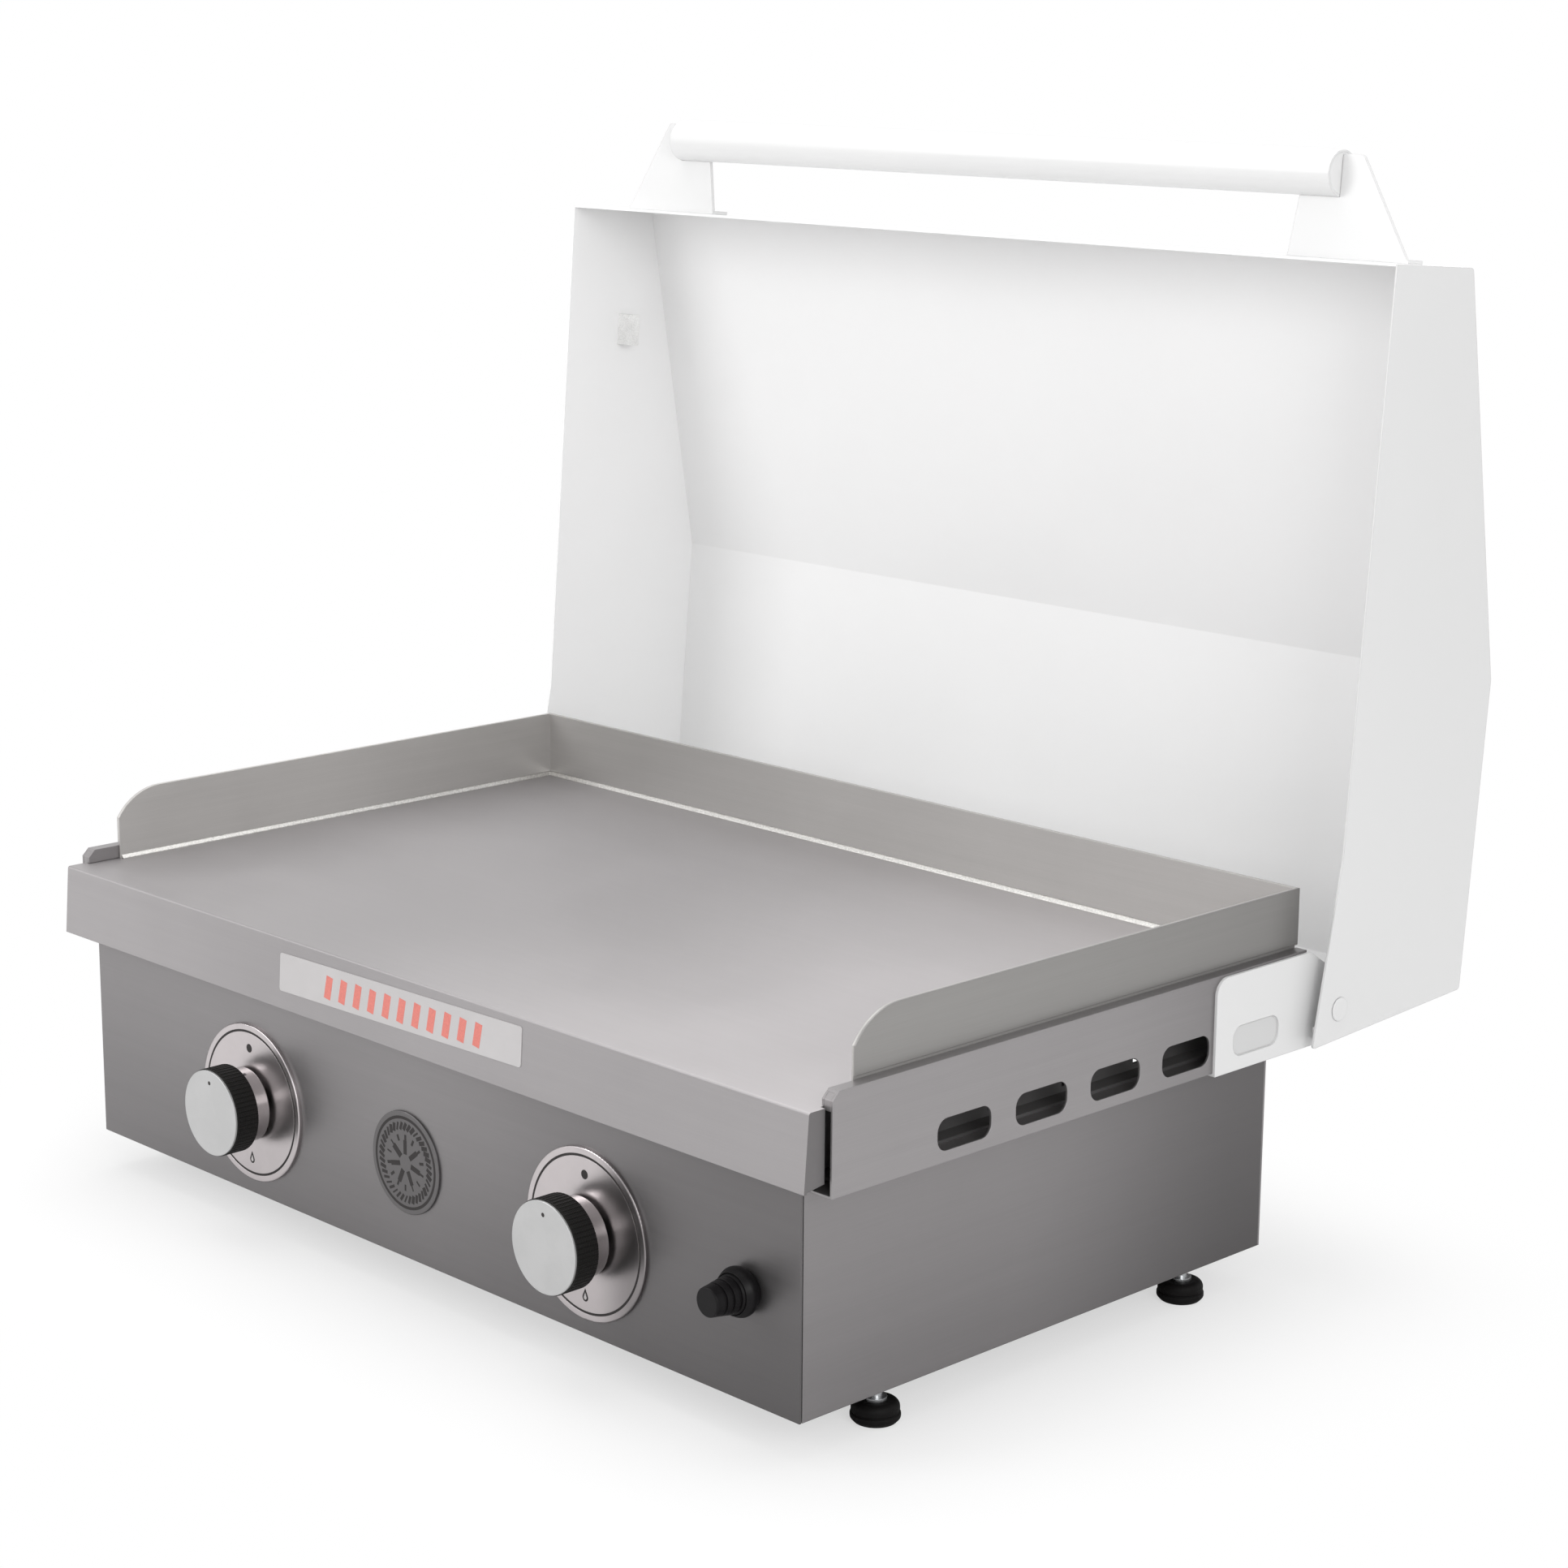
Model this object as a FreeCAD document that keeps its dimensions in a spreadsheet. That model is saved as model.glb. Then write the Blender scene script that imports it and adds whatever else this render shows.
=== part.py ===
import FreeCAD, Part
import math
import os
import re
import Sketcher

# Counter-top gas flat top griddle: a stainless plate on cast iron over two U burners, a steel casing,
# and a hinged lid.  Millimetres.  X runs to the right, Y to the back, Z up; the origin is on the floor
# in the middle of the outline that the griddle covers with its lid open.

SIZES = {
    # cooking plate and its rolled front fascia
    "plate_width": 750.0, "plate_sheet": 3.0, "plate_nose_radius": 1.5,
    "fascia_height": 47.5, "fascia_lean": 3.6, "fascia_sheet": 2.0,
    "fascia_return": 12.5, "fascia_return_sheet": 1.5,
    "underplate_thickness": 8.0, "underplate_margin": 25.0, "underplate_front": 25.0,
    "rib_width": 10.0, "rib_height": 9.0, "rib_count": 5.0,
    # splash guard on three sides, and the weld bead inside it
    "guard_front": 39.6, "guard_length": 405.0, "guard_height": 49.2, "guard_thickness": 2.6,
    "guard_inset": 3.7, "guard_nose_radius": 43.0, "guard_nose_start": 7.0, "guard_skirt": 11.7,
    "weld_leg": 2.8,
    # vent rails along both sides
    "rail_proud": 3.8, "rail_front": 14.6, "rail_rise": 9.5, "rail_drop": 53.4, "rail_sheet": 1.5,
    "rail_lip_gap": 0.3, "rail_corner_radius": 5.0,
    "slot_length": 46.0, "slot_height": 20.0, "slot_radius": 8.0, "slot_drop": 36.4,
    "slot_first": 108.9, "slot_last": 119.35, "slot_count": 4.0,
    # casing
    "casing_height": 194.5, "casing_inset": 17.6, "casing_sheet": 1.5, "casing_flange": 12.0,
    "corner_seam": 0.8,
    "panel_setback": 11.7, "casing_back_gap": 9.9, "pan_lift": 1.5, "pan_flange": 14.0,
    "intake_length": 60.0, "intake_width": 8.0, "intake_pitch": 26.0, "intake_count": 9.0,
    "louvre_length": 44.0, "louvre_height": 7.0, "louvre_pitch": 66.0, "louvre_count": 9.0,
    "louvre_drop": 42.0, "support_inset": 14.0, "support_sheet": 2.0, "support_foot": 14.0,
    # feet
    "foot_height": 26.8, "foot_radius": 15.4, "foot_pad_height": 13.5, "foot_side_inset": 18.0,
    "foot_front_inset": 81.0, "foot_back_inset": 58.0, "foot_stud_radius": 4.0, "foot_nut_flats": 13.0,
    "foot_nut_height": 6.5, "foot_stud_bite": 8.0,
    # control panel: knobs, bezels, badge, label
    "knob_spread": 346.0, "knob_height": 65.5, "knob_reach": 35.6, "knob_radius": 30.0,
    "knob_face_thickness": 1.5, "knob_grip_length": 17.0, "knob_skirt_radius": 25.5,
    "knob_skirt_length": 12.3, "knob_wall": 2.0, "pointer_radius": 1.4, "pointer_offset": 21.0,
    "pointer_depth": 0.6, "knurl_count": 60.0, "knurl_radius": 0.75,
    "bezel_radius": 55.0, "bezel_thickness": 2.5, "bezel_groove_radius": 50.0, "bezel_groove": 1.6,
    "bezel_hole_radius": 9.0, "badge_radius": 34.4, "badge_thickness": 1.6, "badge_shift": -4.5,
    "label_width": 247.0, "label_height": 25.5, "label_thickness": 0.4, "label_drop": 20.5,
    "label_shift": 4.3, "label_tilt": 1.0,
    # gas train
    "stem_radius": 4.0, "stem_grip_depth": 9.0, "stem_reach": 34.0, "run_clearance": 0.05,
    "valve_front_gap": 15.0, "valve_width": 26.0, "valve_length": 44.0, "valve_height": 30.0,
    "collar_radius": 8.0, "collar_length": 4.0, "collar_gap": 3.0, "push_travel": 2.0,
    "manifold_radius": 8.0, "manifold_wall": 1.5, "manifold_end": 36.0, "feed_x": 262.0,
    "inlet_thread_radius": 10.4, "inlet_thread_length": 17.0, "inlet_neck_radius": 9.6, "inlet_neck": 3.0, "inlet_hex_flats": 27.0,
    "inlet_hex_length": 10.0, "inlet_bore_radius": 6.0,
    "burner_radius": 11.0, "burner_wall": 1.2, "burner_spread": 150.0, "burner_front": 96.0,
    "burner_back_gap": 52.0, "burner_height": 108.0, "jet_radius": 4.0,
    "saddle_width": 20.0, "saddle_sheet": 2.0, "saddle_start": 60.0,
    # ignition
    "igniter_inset": 62.4, "igniter_rise": 69.9, "igniter_reach": 31.2, "igniter_collar_radius": 15.3,
    "igniter_collar_length": 12.0, "igniter_button_radius": 12.2, "igniter_tip_radius": 9.0,
    "igniter_travel": 5.0, "igniter_body_radius": 9.0, "igniter_body_length": 46.0,
    "igniter_rod_radius": 3.0, "wire_radius": 1.5, "electrode_radius": 3.5, "electrode_length": 30.0,
    # hinges
    "bracket_reach": 92.6, "bracket_sheet": 2.0, "bracket_rise": 8.0, "bracket_corner": 11.0,
    "bracket_ear": 12.0, "bracket_lip": 10.0, "recess_back": 52.1, "recess_depth": 1.2, "pivot_along": 21.7, "pivot_out": 10.0,
    "pin_radius": 5.0, "pin_head_radius": 8.0, "pin_head": 1.0, "pin_play": 0.06, "side_gap": 0.3,
    "pin_nut_flats": 15.0, "pin_nut": 6.0, "washer_radius": 9.0,
    # lid, drawn upright: along is from the hinge end to the handle end, out is away from its open face
    "lid_lean": 4.3, "lid_gap": 8.6, "lid_drop": 52.3, "lid_overhang": 16.6, "lid_front_gap": 12.0,
    "lid_sheet": 1.5, "lid_front_depth": 82.1, "lid_kink_along": 229.2, "lid_kink_out": 146.9,
    "lid_back_along": 18.5, "lid_back_out": 144.6, "lid_bend_radius": 3.0, "lid_toe": 15.0,
    "lid_toe_length": 120.0,
    "rest_pad_inset": 107.0, "rest_pad_length": 24.0, "rest_pad_height": 8.0,
    "buffer_radius": 10.0, "buffer_play": 0.3,
    # handle
    "handle_radius": 15.0, "handle_wall": 1.5, "handle_half_length": 313.0, "handle_out": 41.0,
    "handle_rise": 39.5, "arm_sheet": 2.5, "arm_bend": 325.0, "arm_outer_base": 371.0,
    "arm_outer_top": 329.0, "arm_height": 67.0, "arm_inner_base": 275.0, "arm_inner_top": 281.0,
    "arm_foot": 14.0, "plug_depth": 8.0,
    # screws
    "screw_radius": 2.0, "screw_head_radius": 4.0, "screw_head": 2.4, "screw_length": 8.0,
}

# Places worked out from the sizes.
PLACES = {
    "top_z": "foot_height + casing_height",
    "plate_half": "plate_width / 2",
    "guard_half": "plate_half - guard_inset",
    "guard_back": "guard_front + guard_length",
    "rail_half": "plate_half + rail_proud",
    "rail_length": "guard_back - rail_front",
    "lip_edge": "guard_half - guard_thickness / 2 + rail_lip_gap",
    "slot_pitch": "(rail_length - slot_first - slot_last) / (slot_count - 1)",
    "slot_start": "rail_front + slot_first",
    "casing_half": "plate_half - casing_inset",
    "casing_back": "guard_back - casing_back_gap",
    "plate_under": "plate_sheet + underplate_thickness",
    "knob_half": "knob_spread / 2",
    "lid_y": "guard_back + lid_gap",
    "lid_sin": "sin(lid_lean * 1deg)",
    "lid_cos": "cos(lid_lean * 1deg)",
    "lid_length": "lid_y + pivot_along * (1 + lid_sin) + pivot_out * lid_cos + lid_front_gap",
    "lid_half": "plate_half + lid_overhang",
    "pivot_y": "lid_y + pivot_along * lid_sin + pivot_out * lid_cos",
    "pivot_z": "top_z - lid_drop + pivot_along * lid_cos - pivot_out * lid_sin",
    "rear_most": "lid_y + lid_kink_along * lid_sin + lid_kink_out * lid_cos",
    "fascia_y": "-(rear_most + panel_setback - knob_reach) / 2",
    "knob_z": "foot_height + knob_height",
    "panel_y": "fascia_y + panel_setback",
    "bracket_half": "rail_half + bracket_sheet",
    "burner_z": "foot_height + burner_height",
    "burner_back": "casing_back - burner_back_gap",
    "valve_y": "panel_setback + casing_sheet + valve_front_gap",
    "manifold_y": "valve_y + valve_length + manifold_radius",
    "electrode_x": "(knob_half - burner_spread / 2 + burner_radius + 12)",
    "electrode_y": "burner_front + saddle_start + saddle_width / 2",
}

doc = FreeCAD.newDocument("flat_top_griddle")
sheet = doc.addObject("Spreadsheet::Sheet", "dim")
for row, (alias, size) in enumerate(SIZES.items(), start=1):
    sheet.set(f"A{row}", alias)
    sheet.set(f"B{row}", str(size))
    sheet.setAlias(f"B{row}", alias)
doc.recompute()

PARTS = []


def full(formula):
    """Write a formula out in full, with every named size as a cell of the sheet."""
    def swap(match):
        word = match.group(0)
        if word in PLACES:
            return "(" + full(PLACES[word]) + ")"
        return "dim." + word if word in SIZES else word
    return re.sub(r"[a-z][a-z_]+", swap, formula)


def number(holder, formula):
    return float(holder.evalExpression(full(formula)))


def kept(part, name):
    """Name a finished sub-part and put it on the list that is written out."""
    part.Label = name
    PARTS.append(part)
    return part


def place(part, x="0", y="0", z="0"):
    for axis, formula in zip("xyz", (x, y, z)):
        part.setExpression("Placement.Base." + axis, full(formula))
    return part


def new_body(name):
    return doc.addObject("PartDesign::Body", name)


def sketch_on(body, role, offset="0"):
    """A sketch on one of the body's own origin planes, moved along the plane's axis."""
    sketch = body.newObject("Sketcher::SketchObject", body.Name + "_sketch")
    plane = next(item for item in body.Origin.OriginFeatures if item.Role == role)
    sketch.AttachmentSupport = (plane, [""])
    sketch.MapMode = "FlatFace"
    sign = "-" if role == "XZ_Plane" else ""
    sketch.setExpression("AttachmentOffset.Base.z", full(f"{sign}({offset})"))
    return sketch


def hold(sketch, kind, formula, *ends):
    """Add a dimension to a sketch and tie it to its formula."""
    index = sketch.addConstraint(Sketcher.Constraint(kind, *ends, number(sketch, formula)))
    name = f"size_{index}"
    sketch.renameConstraint(index, name)
    sketch.setExpression("Constraints." + name, full(formula))


def hold_point(sketch, geometry, end, x, y):
    hold(sketch, "DistanceX", x, -1, 1, geometry, end)
    hold(sketch, "DistanceY", y, -1, 1, geometry, end)


def draw_circle(sketch, x, y, radius):
    centre = FreeCAD.Vector(number(sketch, x), number(sketch, y), 0)
    circle = Part.Circle(centre, FreeCAD.Vector(0, 0, 1), number(sketch, radius))
    index = sketch.addGeometry(circle, False)
    hold_point(sketch, index, 3, x, y)
    hold(sketch, "Radius", radius, index)


def rounded(before, corner, after, radius):
    """The two tangent points and the arc that round a corner, and whether it turns left."""
    back = (before - corner).normalize()
    ahead = (after - corner).normalize()
    half = back.getAngle(ahead) / 2
    trim = radius / math.tan(half)
    middle = corner + (back + ahead).normalize() * (radius / math.sin(half))
    entry, leave = corner + back * trim, corner + ahead * trim
    left = (corner - before).cross(after - corner).z > 0
    first, last = (entry, leave) if left else (leave, entry)
    start = math.atan2(first.y - middle.y, first.x - middle.x)
    stop = math.atan2(last.y - middle.y, last.x - middle.x)
    circle = Part.Circle(middle, FreeCAD.Vector(0, 0, 1), radius)
    return entry, leave, Part.ArcOfCircle(circle, start, stop), left


def draw_outline(sketch, corners):
    """A closed outline.  A corner is (x, y), or (x, y, radius) where it is rounded."""
    points = [FreeCAD.Vector(number(sketch, c[0]), number(sketch, c[1]), 0) for c in corners]
    count = len(corners)
    enter, leave, arcs = {}, {}, {}
    for i, corner in enumerate(corners):
        enter[i] = leave[i] = points[i]
        if len(corner) == 3:
            radius = number(sketch, corner[2])
            enter[i], leave[i], arc, left = rounded(points[i - 1], points[i], points[(i + 1) % count], radius)
            arcs[i] = (arc, left)
    lines = [sketch.addGeometry(Part.LineSegment(leave[i], enter[(i + 1) % count]), False)
             for i in range(count)]
    for i, corner in enumerate(corners):
        before, after = lines[i - 1], lines[i]
        if i not in arcs:
            sketch.addConstraint(Sketcher.Constraint("Coincident", before, 2, after, 1))
            hold_point(sketch, after, 1, corner[0], corner[1])
            continue
        arc, left = arcs[i]
        bend = sketch.addGeometry(arc, False)
        sketch.addConstraint(Sketcher.Constraint("Tangent", before, 2, bend, 1 if left else 2))
        sketch.addConstraint(Sketcher.Constraint("Tangent", bend, 2 if left else 1, after, 1))
        apex = sketch.addGeometry(Part.Point(points[i]), True)
        sketch.addConstraint(Sketcher.Constraint("PointOnObject", apex, 1, before))
        sketch.addConstraint(Sketcher.Constraint("PointOnObject", apex, 1, after))
        hold_point(sketch, apex, 1, corner[0], corner[1])
        hold(sketch, "Radius", corner[2], bend)


def box_corners(x0, x1, y0, y1, radius=None):
    corners = [(x0, y0), (x1, y0), (x1, y1), (x0, y1)]
    return corners if radius is None else [corner + (radius,) for corner in corners]


def draw(sketch, shapes):
    """Draw circles, given as (x, y, radius) tuples, and outlines, given as lists of corners."""
    for shape in shapes:
        if isinstance(shape, tuple):
            draw_circle(sketch, *shape)
        else:
            draw_outline(sketch, shape)


def pad(body, role, start, length, *shapes):
    """Add a slab of the drawn shapes, from start along the plane's positive axis."""
    sketch = sketch_on(body, role, start)
    draw(sketch, shapes)
    feature = body.newObject("PartDesign::Pad", body.Name + "_pad")
    feature.Profile = sketch
    feature.Reversed = role == "XZ_Plane"
    feature.setExpression("Length", full(length))
    body.Tip = feature
    return feature


def cut(body, role, start, length, *shapes):
    """Cut the drawn shapes out, from start along the plane's positive axis."""
    sketch = sketch_on(body, role, start)
    draw(sketch, shapes)
    feature = body.newObject("PartDesign::Pocket", body.Name + "_pocket")
    feature.Profile = sketch
    feature.Reversed = role != "XZ_Plane"
    feature.setExpression("Length", full(length))
    body.Tip = feature
    doc.recompute()
    return feature


def repeat(body, feature, pitch, count, axis="H_Axis"):
    """Repeat a feature in a line along one axis of its sketch."""
    pattern = body.newObject("PartDesign::LinearPattern", body.Name + "_pattern")
    pattern.Originals = [feature]
    pattern.Direction = (feature.Profile[0], [axis])
    pattern.setExpression("Length", full(f"({pitch}) * ({count} - 1)"))
    pattern.setExpression("Occurrences", full(count))
    body.Tip = pattern
    return pattern


def repeat_round(body, feature, count):
    """Repeat a feature in a circle about the normal of its sketch."""
    pattern = body.newObject("PartDesign::PolarPattern", body.Name + "_pattern")
    pattern.Originals = [feature]
    pattern.Axis = (feature.Profile[0], ["N_Axis"])
    pattern.Angle = 360
    pattern.setExpression("Occurrences", full(count))
    body.Tip = pattern
    return pattern


def turn(body, role, axis, *shapes):
    """Add a turned shape; axis is the sketch axis that it is turned about."""
    sketch = sketch_on(body, role)
    draw(sketch, shapes)
    feature = body.newObject("PartDesign::Revolution", body.Name + "_turned")
    feature.Profile = sketch
    feature.ReferenceAxis = (sketch, [axis])
    feature.Angle = 360
    body.Tip = feature
    return feature


def turned_y(name, *shapes):
    """A piece turned about Y; each outline is drawn as (radius, y)."""
    body = new_body(name)
    turn(body, "XY_Plane", "V_Axis", *shapes)
    return body


def turned_z(name, *shapes):
    """A piece turned about Z; each outline is drawn as (radius, z)."""
    body = new_body(name)
    turn(body, "XZ_Plane", "V_Axis", *shapes)
    return body


def turned_x(name, *shapes):
    """A piece turned about X; each outline is drawn as (x, radius)."""
    body = new_body(name)
    turn(body, "XY_Plane", "H_Axis", *shapes)
    return body


def mirrored(source, name):
    """The left-hand copy of a right-hand piece."""
    part = doc.addObject("Part::Mirroring", name)
    part.Source = source
    part.Normal = FreeCAD.Vector(1, 0, 0)
    return part


def pair(source, right, left):
    """Keep a right-hand piece and its left-hand copy as two nodes."""
    kept(source, right)
    kept(mirrored(source, left), left)


def group(name, *members):
    """Identical pieces that share one node."""
    part = doc.addObject("Part::Compound", name)
    part.Links = list(members)
    return kept(part, name)


def both_sides(name, *sources):
    """A group of right-hand pieces and their left-hand copies."""
    copies = [mirrored(source, f"{name}_copy_{i}") for i, source in enumerate(sources)]
    return group(name, *sources, *copies)


def pipe(name, role, offset, radius, inner, path):
    """A round tube along a flat path.  A path point is (x, y), or (x, y, radius) at a bend."""
    body = new_body(name)
    spine = sketch_on(body, role, offset)
    points = [FreeCAD.Vector(number(spine, p[0]), number(spine, p[1]), 0) for p in path]
    last = len(path) - 1
    leave = points[0]
    before = None
    hold_first = None
    for i in range(1, last + 1):
        arc = None
        enter = points[i]
        if len(path[i]) == 3:
            bend_radius = number(spine, path[i][2])
            enter, onward, arc, left = rounded(points[i - 1], points[i], points[i + 1], bend_radius)
        line = spine.addGeometry(Part.LineSegment(leave, enter), False)
        if before is not None:
            spine.addConstraint(Sketcher.Constraint("Tangent", before[0], before[1], line, 1))
            spine.addConstraint(Sketcher.Constraint("PointOnObject", before[2], 1, line))
        else:
            hold_first = line
        if arc is None:
            hold_point(spine, line, 2, path[i][0], path[i][1])
            before = None
            leave = enter
            continue
        bend = spine.addGeometry(arc, False)
        spine.addConstraint(Sketcher.Constraint("Tangent", line, 2, bend, 1 if left else 2))
        apex = spine.addGeometry(Part.Point(points[i]), True)
        spine.addConstraint(Sketcher.Constraint("PointOnObject", apex, 1, line))
        hold_point(spine, apex, 1, path[i][0], path[i][1])
        hold(spine, "Radius", path[i][2], bend)
        before = (bend, 2 if left else 1, apex)
        leave = onward
    hold_point(spine, hold_first, 1, path[0][0], path[0][1])
    doc.recompute()
    section = body.newObject("Sketcher::SketchObject", name + "_section")
    section.AttachmentSupport = (spine, ["Edge1"])
    section.MapMode = "NormalToEdge"
    section.MapPathParameter = 0.0
    doc.recompute()
    draw_circle(section, "0", "0", radius)
    if inner:
        draw_circle(section, "0", "0", inner)
    sweep = body.newObject("PartDesign::AdditivePipe", name + "_sweep")
    sweep.Profile = section
    sweep.Spine = spine
    body.Tip = sweep
    return body


# ---- cooking plate ---------------------------------------------------------------------------------

def griddle_plate():
    """The plate's sheet with its rolled nose, leaning fascia and the short returns at both ends."""
    body = new_body("griddle_plate")
    profile = [
        ("guard_back", "0"), ("0", "0", "plate_nose_radius"), ("-fascia_lean", "-fascia_height"),
        ("fascia_sheet - fascia_lean", "-fascia_height"),
        ("fascia_sheet", "-plate_sheet"),
        ("guard_back", "-plate_sheet"),
    ]
    pad(body, "YZ_Plane", "-plate_half", "plate_width", profile)
    beside_rail = box_corners("guard_half", "plate_half + 1", "fascia_return", "guard_back + 1")
    other_side = box_corners("-plate_half - 1", "-guard_half", "fascia_return", "guard_back + 1")
    cut(body, "XY_Plane", "-plate_sheet - 1", "plate_sheet + 2", beside_rail, other_side)
    end_return = [("fascia_sheet", "-plate_sheet"), ("fascia_return", "-plate_sheet"),
                  ("fascia_return", "-fascia_height + 3"),
                  ("fascia_sheet - fascia_lean", "-fascia_height + 1")]
    pad(body, "YZ_Plane", "plate_half - fascia_return_sheet", "fascia_return_sheet", end_return)
    pad(body, "YZ_Plane", "-plate_half", "fascia_return_sheet", end_return)
    kept(place(body, y="fascia_y", z="top_z"), "griddle_plate")


def cast_iron_underplate():
    """The heat-spreading casting under the sheet, with ribs across its underside."""
    body = new_body("cast_iron_underplate")
    pad(body, "XY_Plane", "-underplate_thickness", "underplate_thickness",
        box_corners("-(guard_half - underplate_margin)", "guard_half - underplate_margin",
                    "underplate_front", "casing_back - casing_sheet - 1"))
    side = "guard_half - underplate_margin - 30"
    first = "underplate_front + 40"
    rib = pad(body, "XY_Plane", "-underplate_thickness - rib_height", "rib_height",
              box_corners(f"-({side})", side, first, f"{first} + rib_width"))
    repeat(body, rib, "(casing_back - underplate_front - 100) / rib_count", "rib_count", "V_Axis")
    kept(place(body, y="fascia_y", z="top_z - plate_sheet"), "cast_iron_underplate")


def splash_guard():
    """A hemmed sheet on three sides: its inner skin stands on the plate, its outer skin stops short."""
    ring = new_body("guard_ring")
    inner = "guard_half - guard_thickness"
    pad(ring, "XY_Plane", "0", "guard_height", [
        ("-guard_half", "guard_front"), (f"-({inner})", "guard_front"),
        (f"-({inner})", "guard_back - guard_thickness"), (inner, "guard_back - guard_thickness"),
        (inner, "guard_front"), ("guard_half", "guard_front"), ("guard_half", "guard_back"),
        ("-guard_half", "guard_back")])
    skin = "guard_half - guard_thickness / 2"
    cut(ring, "XY_Plane", "-1", "guard_skirt + 1", [
        ("-guard_half - 1", "guard_front - 1"), (f"-({skin})", "guard_front - 1"),
        (f"-({skin})", "guard_back - guard_thickness / 2"), (skin, "guard_back - guard_thickness / 2"),
        (skin, "guard_front - 1"), ("guard_half + 1", "guard_front - 1"),
        ("guard_half + 1", "guard_back + 1"), ("-guard_half - 1", "guard_back + 1")])
    side = new_body("guard_side_view")
    pad(side, "YZ_Plane", "-guard_half - 1", "2 * guard_half + 2", [
        ("guard_front - guard_nose_start", "0"), ("guard_back + 1", "0"),
        ("guard_back + 1", "guard_height"),
        ("guard_front - guard_nose_start", "guard_height", "guard_nose_radius")])
    part = doc.addObject("Part::Common", "splash_guard")
    part.Base = ring
    part.Tool = side
    kept(place(part, y="fascia_y", z="top_z"), "splash_guard")


def guard_weld():
    """The bead that seals the guard to the plate, along its three inner sides."""
    body = new_body("guard_weld")
    inner = "guard_half - guard_thickness"
    back = "guard_back - guard_thickness"
    pad(body, "XZ_Plane", "guard_front + 1", f"{back} - guard_front - 1",
        [(inner, "0"), (inner, "weld_leg"), (f"{inner} - weld_leg", "0")])
    pad(body, "YZ_Plane", f"-({inner})", f"2 * ({inner})",
        [(back, "0"), (back, "weld_leg"), (f"{back} - weld_leg", "0")])
    pad(body, "XZ_Plane", "guard_front + 1", f"{back} - guard_front - 1",
        [(f"-({inner})", "0"), (f"-({inner})", "weld_leg"), (f"-({inner}) + weld_leg", "0")])
    kept(place(body, y="fascia_y", z="top_z"), "guard_weld")


# ---- vent rails and supports -----------------------------------------------------------------------

def slot_outline(x="slot_start"):
    return box_corners(f"{x} - slot_length / 2", f"{x} + slot_length / 2",
                       "-slot_drop - slot_height / 2", "-slot_drop + slot_height / 2", "slot_radius")


def vent_rails():
    """Folded channels along both sides, turned down again beside the guard, with a row of vent slots."""
    body = new_body("vent_rail_right")
    pad(body, "XZ_Plane", "rail_front", "rail_length", [
        ("rail_half", "rail_rise"), ("lip_edge", "rail_rise"), ("lip_edge", "rail_lip_gap"),
        ("lip_edge + rail_sheet", "rail_lip_gap"), ("lip_edge + rail_sheet", "rail_rise - rail_sheet"),
        ("rail_half - rail_sheet", "rail_rise - rail_sheet"),
        ("rail_half - rail_sheet", "-rail_drop + rail_sheet"),
        ("casing_half - support_inset", "-rail_drop + rail_sheet"),
        ("casing_half - support_inset", "-rail_drop"), ("rail_half", "-rail_drop")])
    nose = [("rail_front - 1", "rail_rise + 1"), ("rail_front - 1", "rail_rise - rail_corner_radius"),
            ("rail_front", "rail_rise - rail_corner_radius"), ("rail_front + rail_corner_radius", "rail_rise"),
            ("rail_front + rail_corner_radius", "rail_rise + 1")]
    cut(body, "YZ_Plane", "lip_edge - 1", "rail_half - lip_edge + 2", nose)
    slot = cut(body, "YZ_Plane", "rail_half - rail_sheet - 1", "rail_sheet + 2", slot_outline())
    repeat(body, slot, "slot_pitch", "slot_count")
    pair(place(body, y="fascia_y", z="top_z"), "vent_rail_right", "vent_rail_left")


def plate_supports():
    """Z-shaped bearers on the rails' flanges that carry the casting, open beside each vent slot."""
    body = new_body("plate_support")
    web = "casing_half - support_inset"
    face = f"{web} + support_sheet"
    floor = "-rail_drop + rail_sheet"
    pad(body, "XZ_Plane", "casing_flange + panel_setback + 2", "rail_length - 44", [
        (face, "-plate_under"), (f"{face} - support_foot", "-plate_under"),
        (f"{face} - support_foot", "-plate_under - support_sheet"), (web, "-plate_under - support_sheet"),
        (web, floor), (f"{web} + support_foot", floor), (f"{web} + support_foot", f"{floor} + support_sheet"),
        (face, f"{floor} + support_sheet")])
    window = cut(body, "YZ_Plane", f"{web} - 1", "support_sheet + 2", box_corners(
        "slot_start - 11", "slot_start + 3",
        "-slot_drop - slot_height / 2", "-plate_under - support_sheet - 6"))
    repeat(body, window, "slot_pitch", "slot_count")
    both_sides("plate_supports", place(body, y="fascia_y", z="top_z"))


# ---- casing ----------------------------------------------------------------------------------------

SCREW_LOW = "pan_lift + 9"
SCREW_HIGH = "casing_height - rail_drop - 14"


def screw_places():
    """Places of the rear panel's screws as (x, height above the casing's foot)."""
    return [("casing_half - 7", SCREW_LOW), ("casing_half / 3", SCREW_LOW), ("-casing_half / 3", SCREW_LOW),
            ("-casing_half + 7", SCREW_LOW), ("casing_half - 7", SCREW_HIGH),
            ("-casing_half + 7", SCREW_HIGH)]


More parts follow.
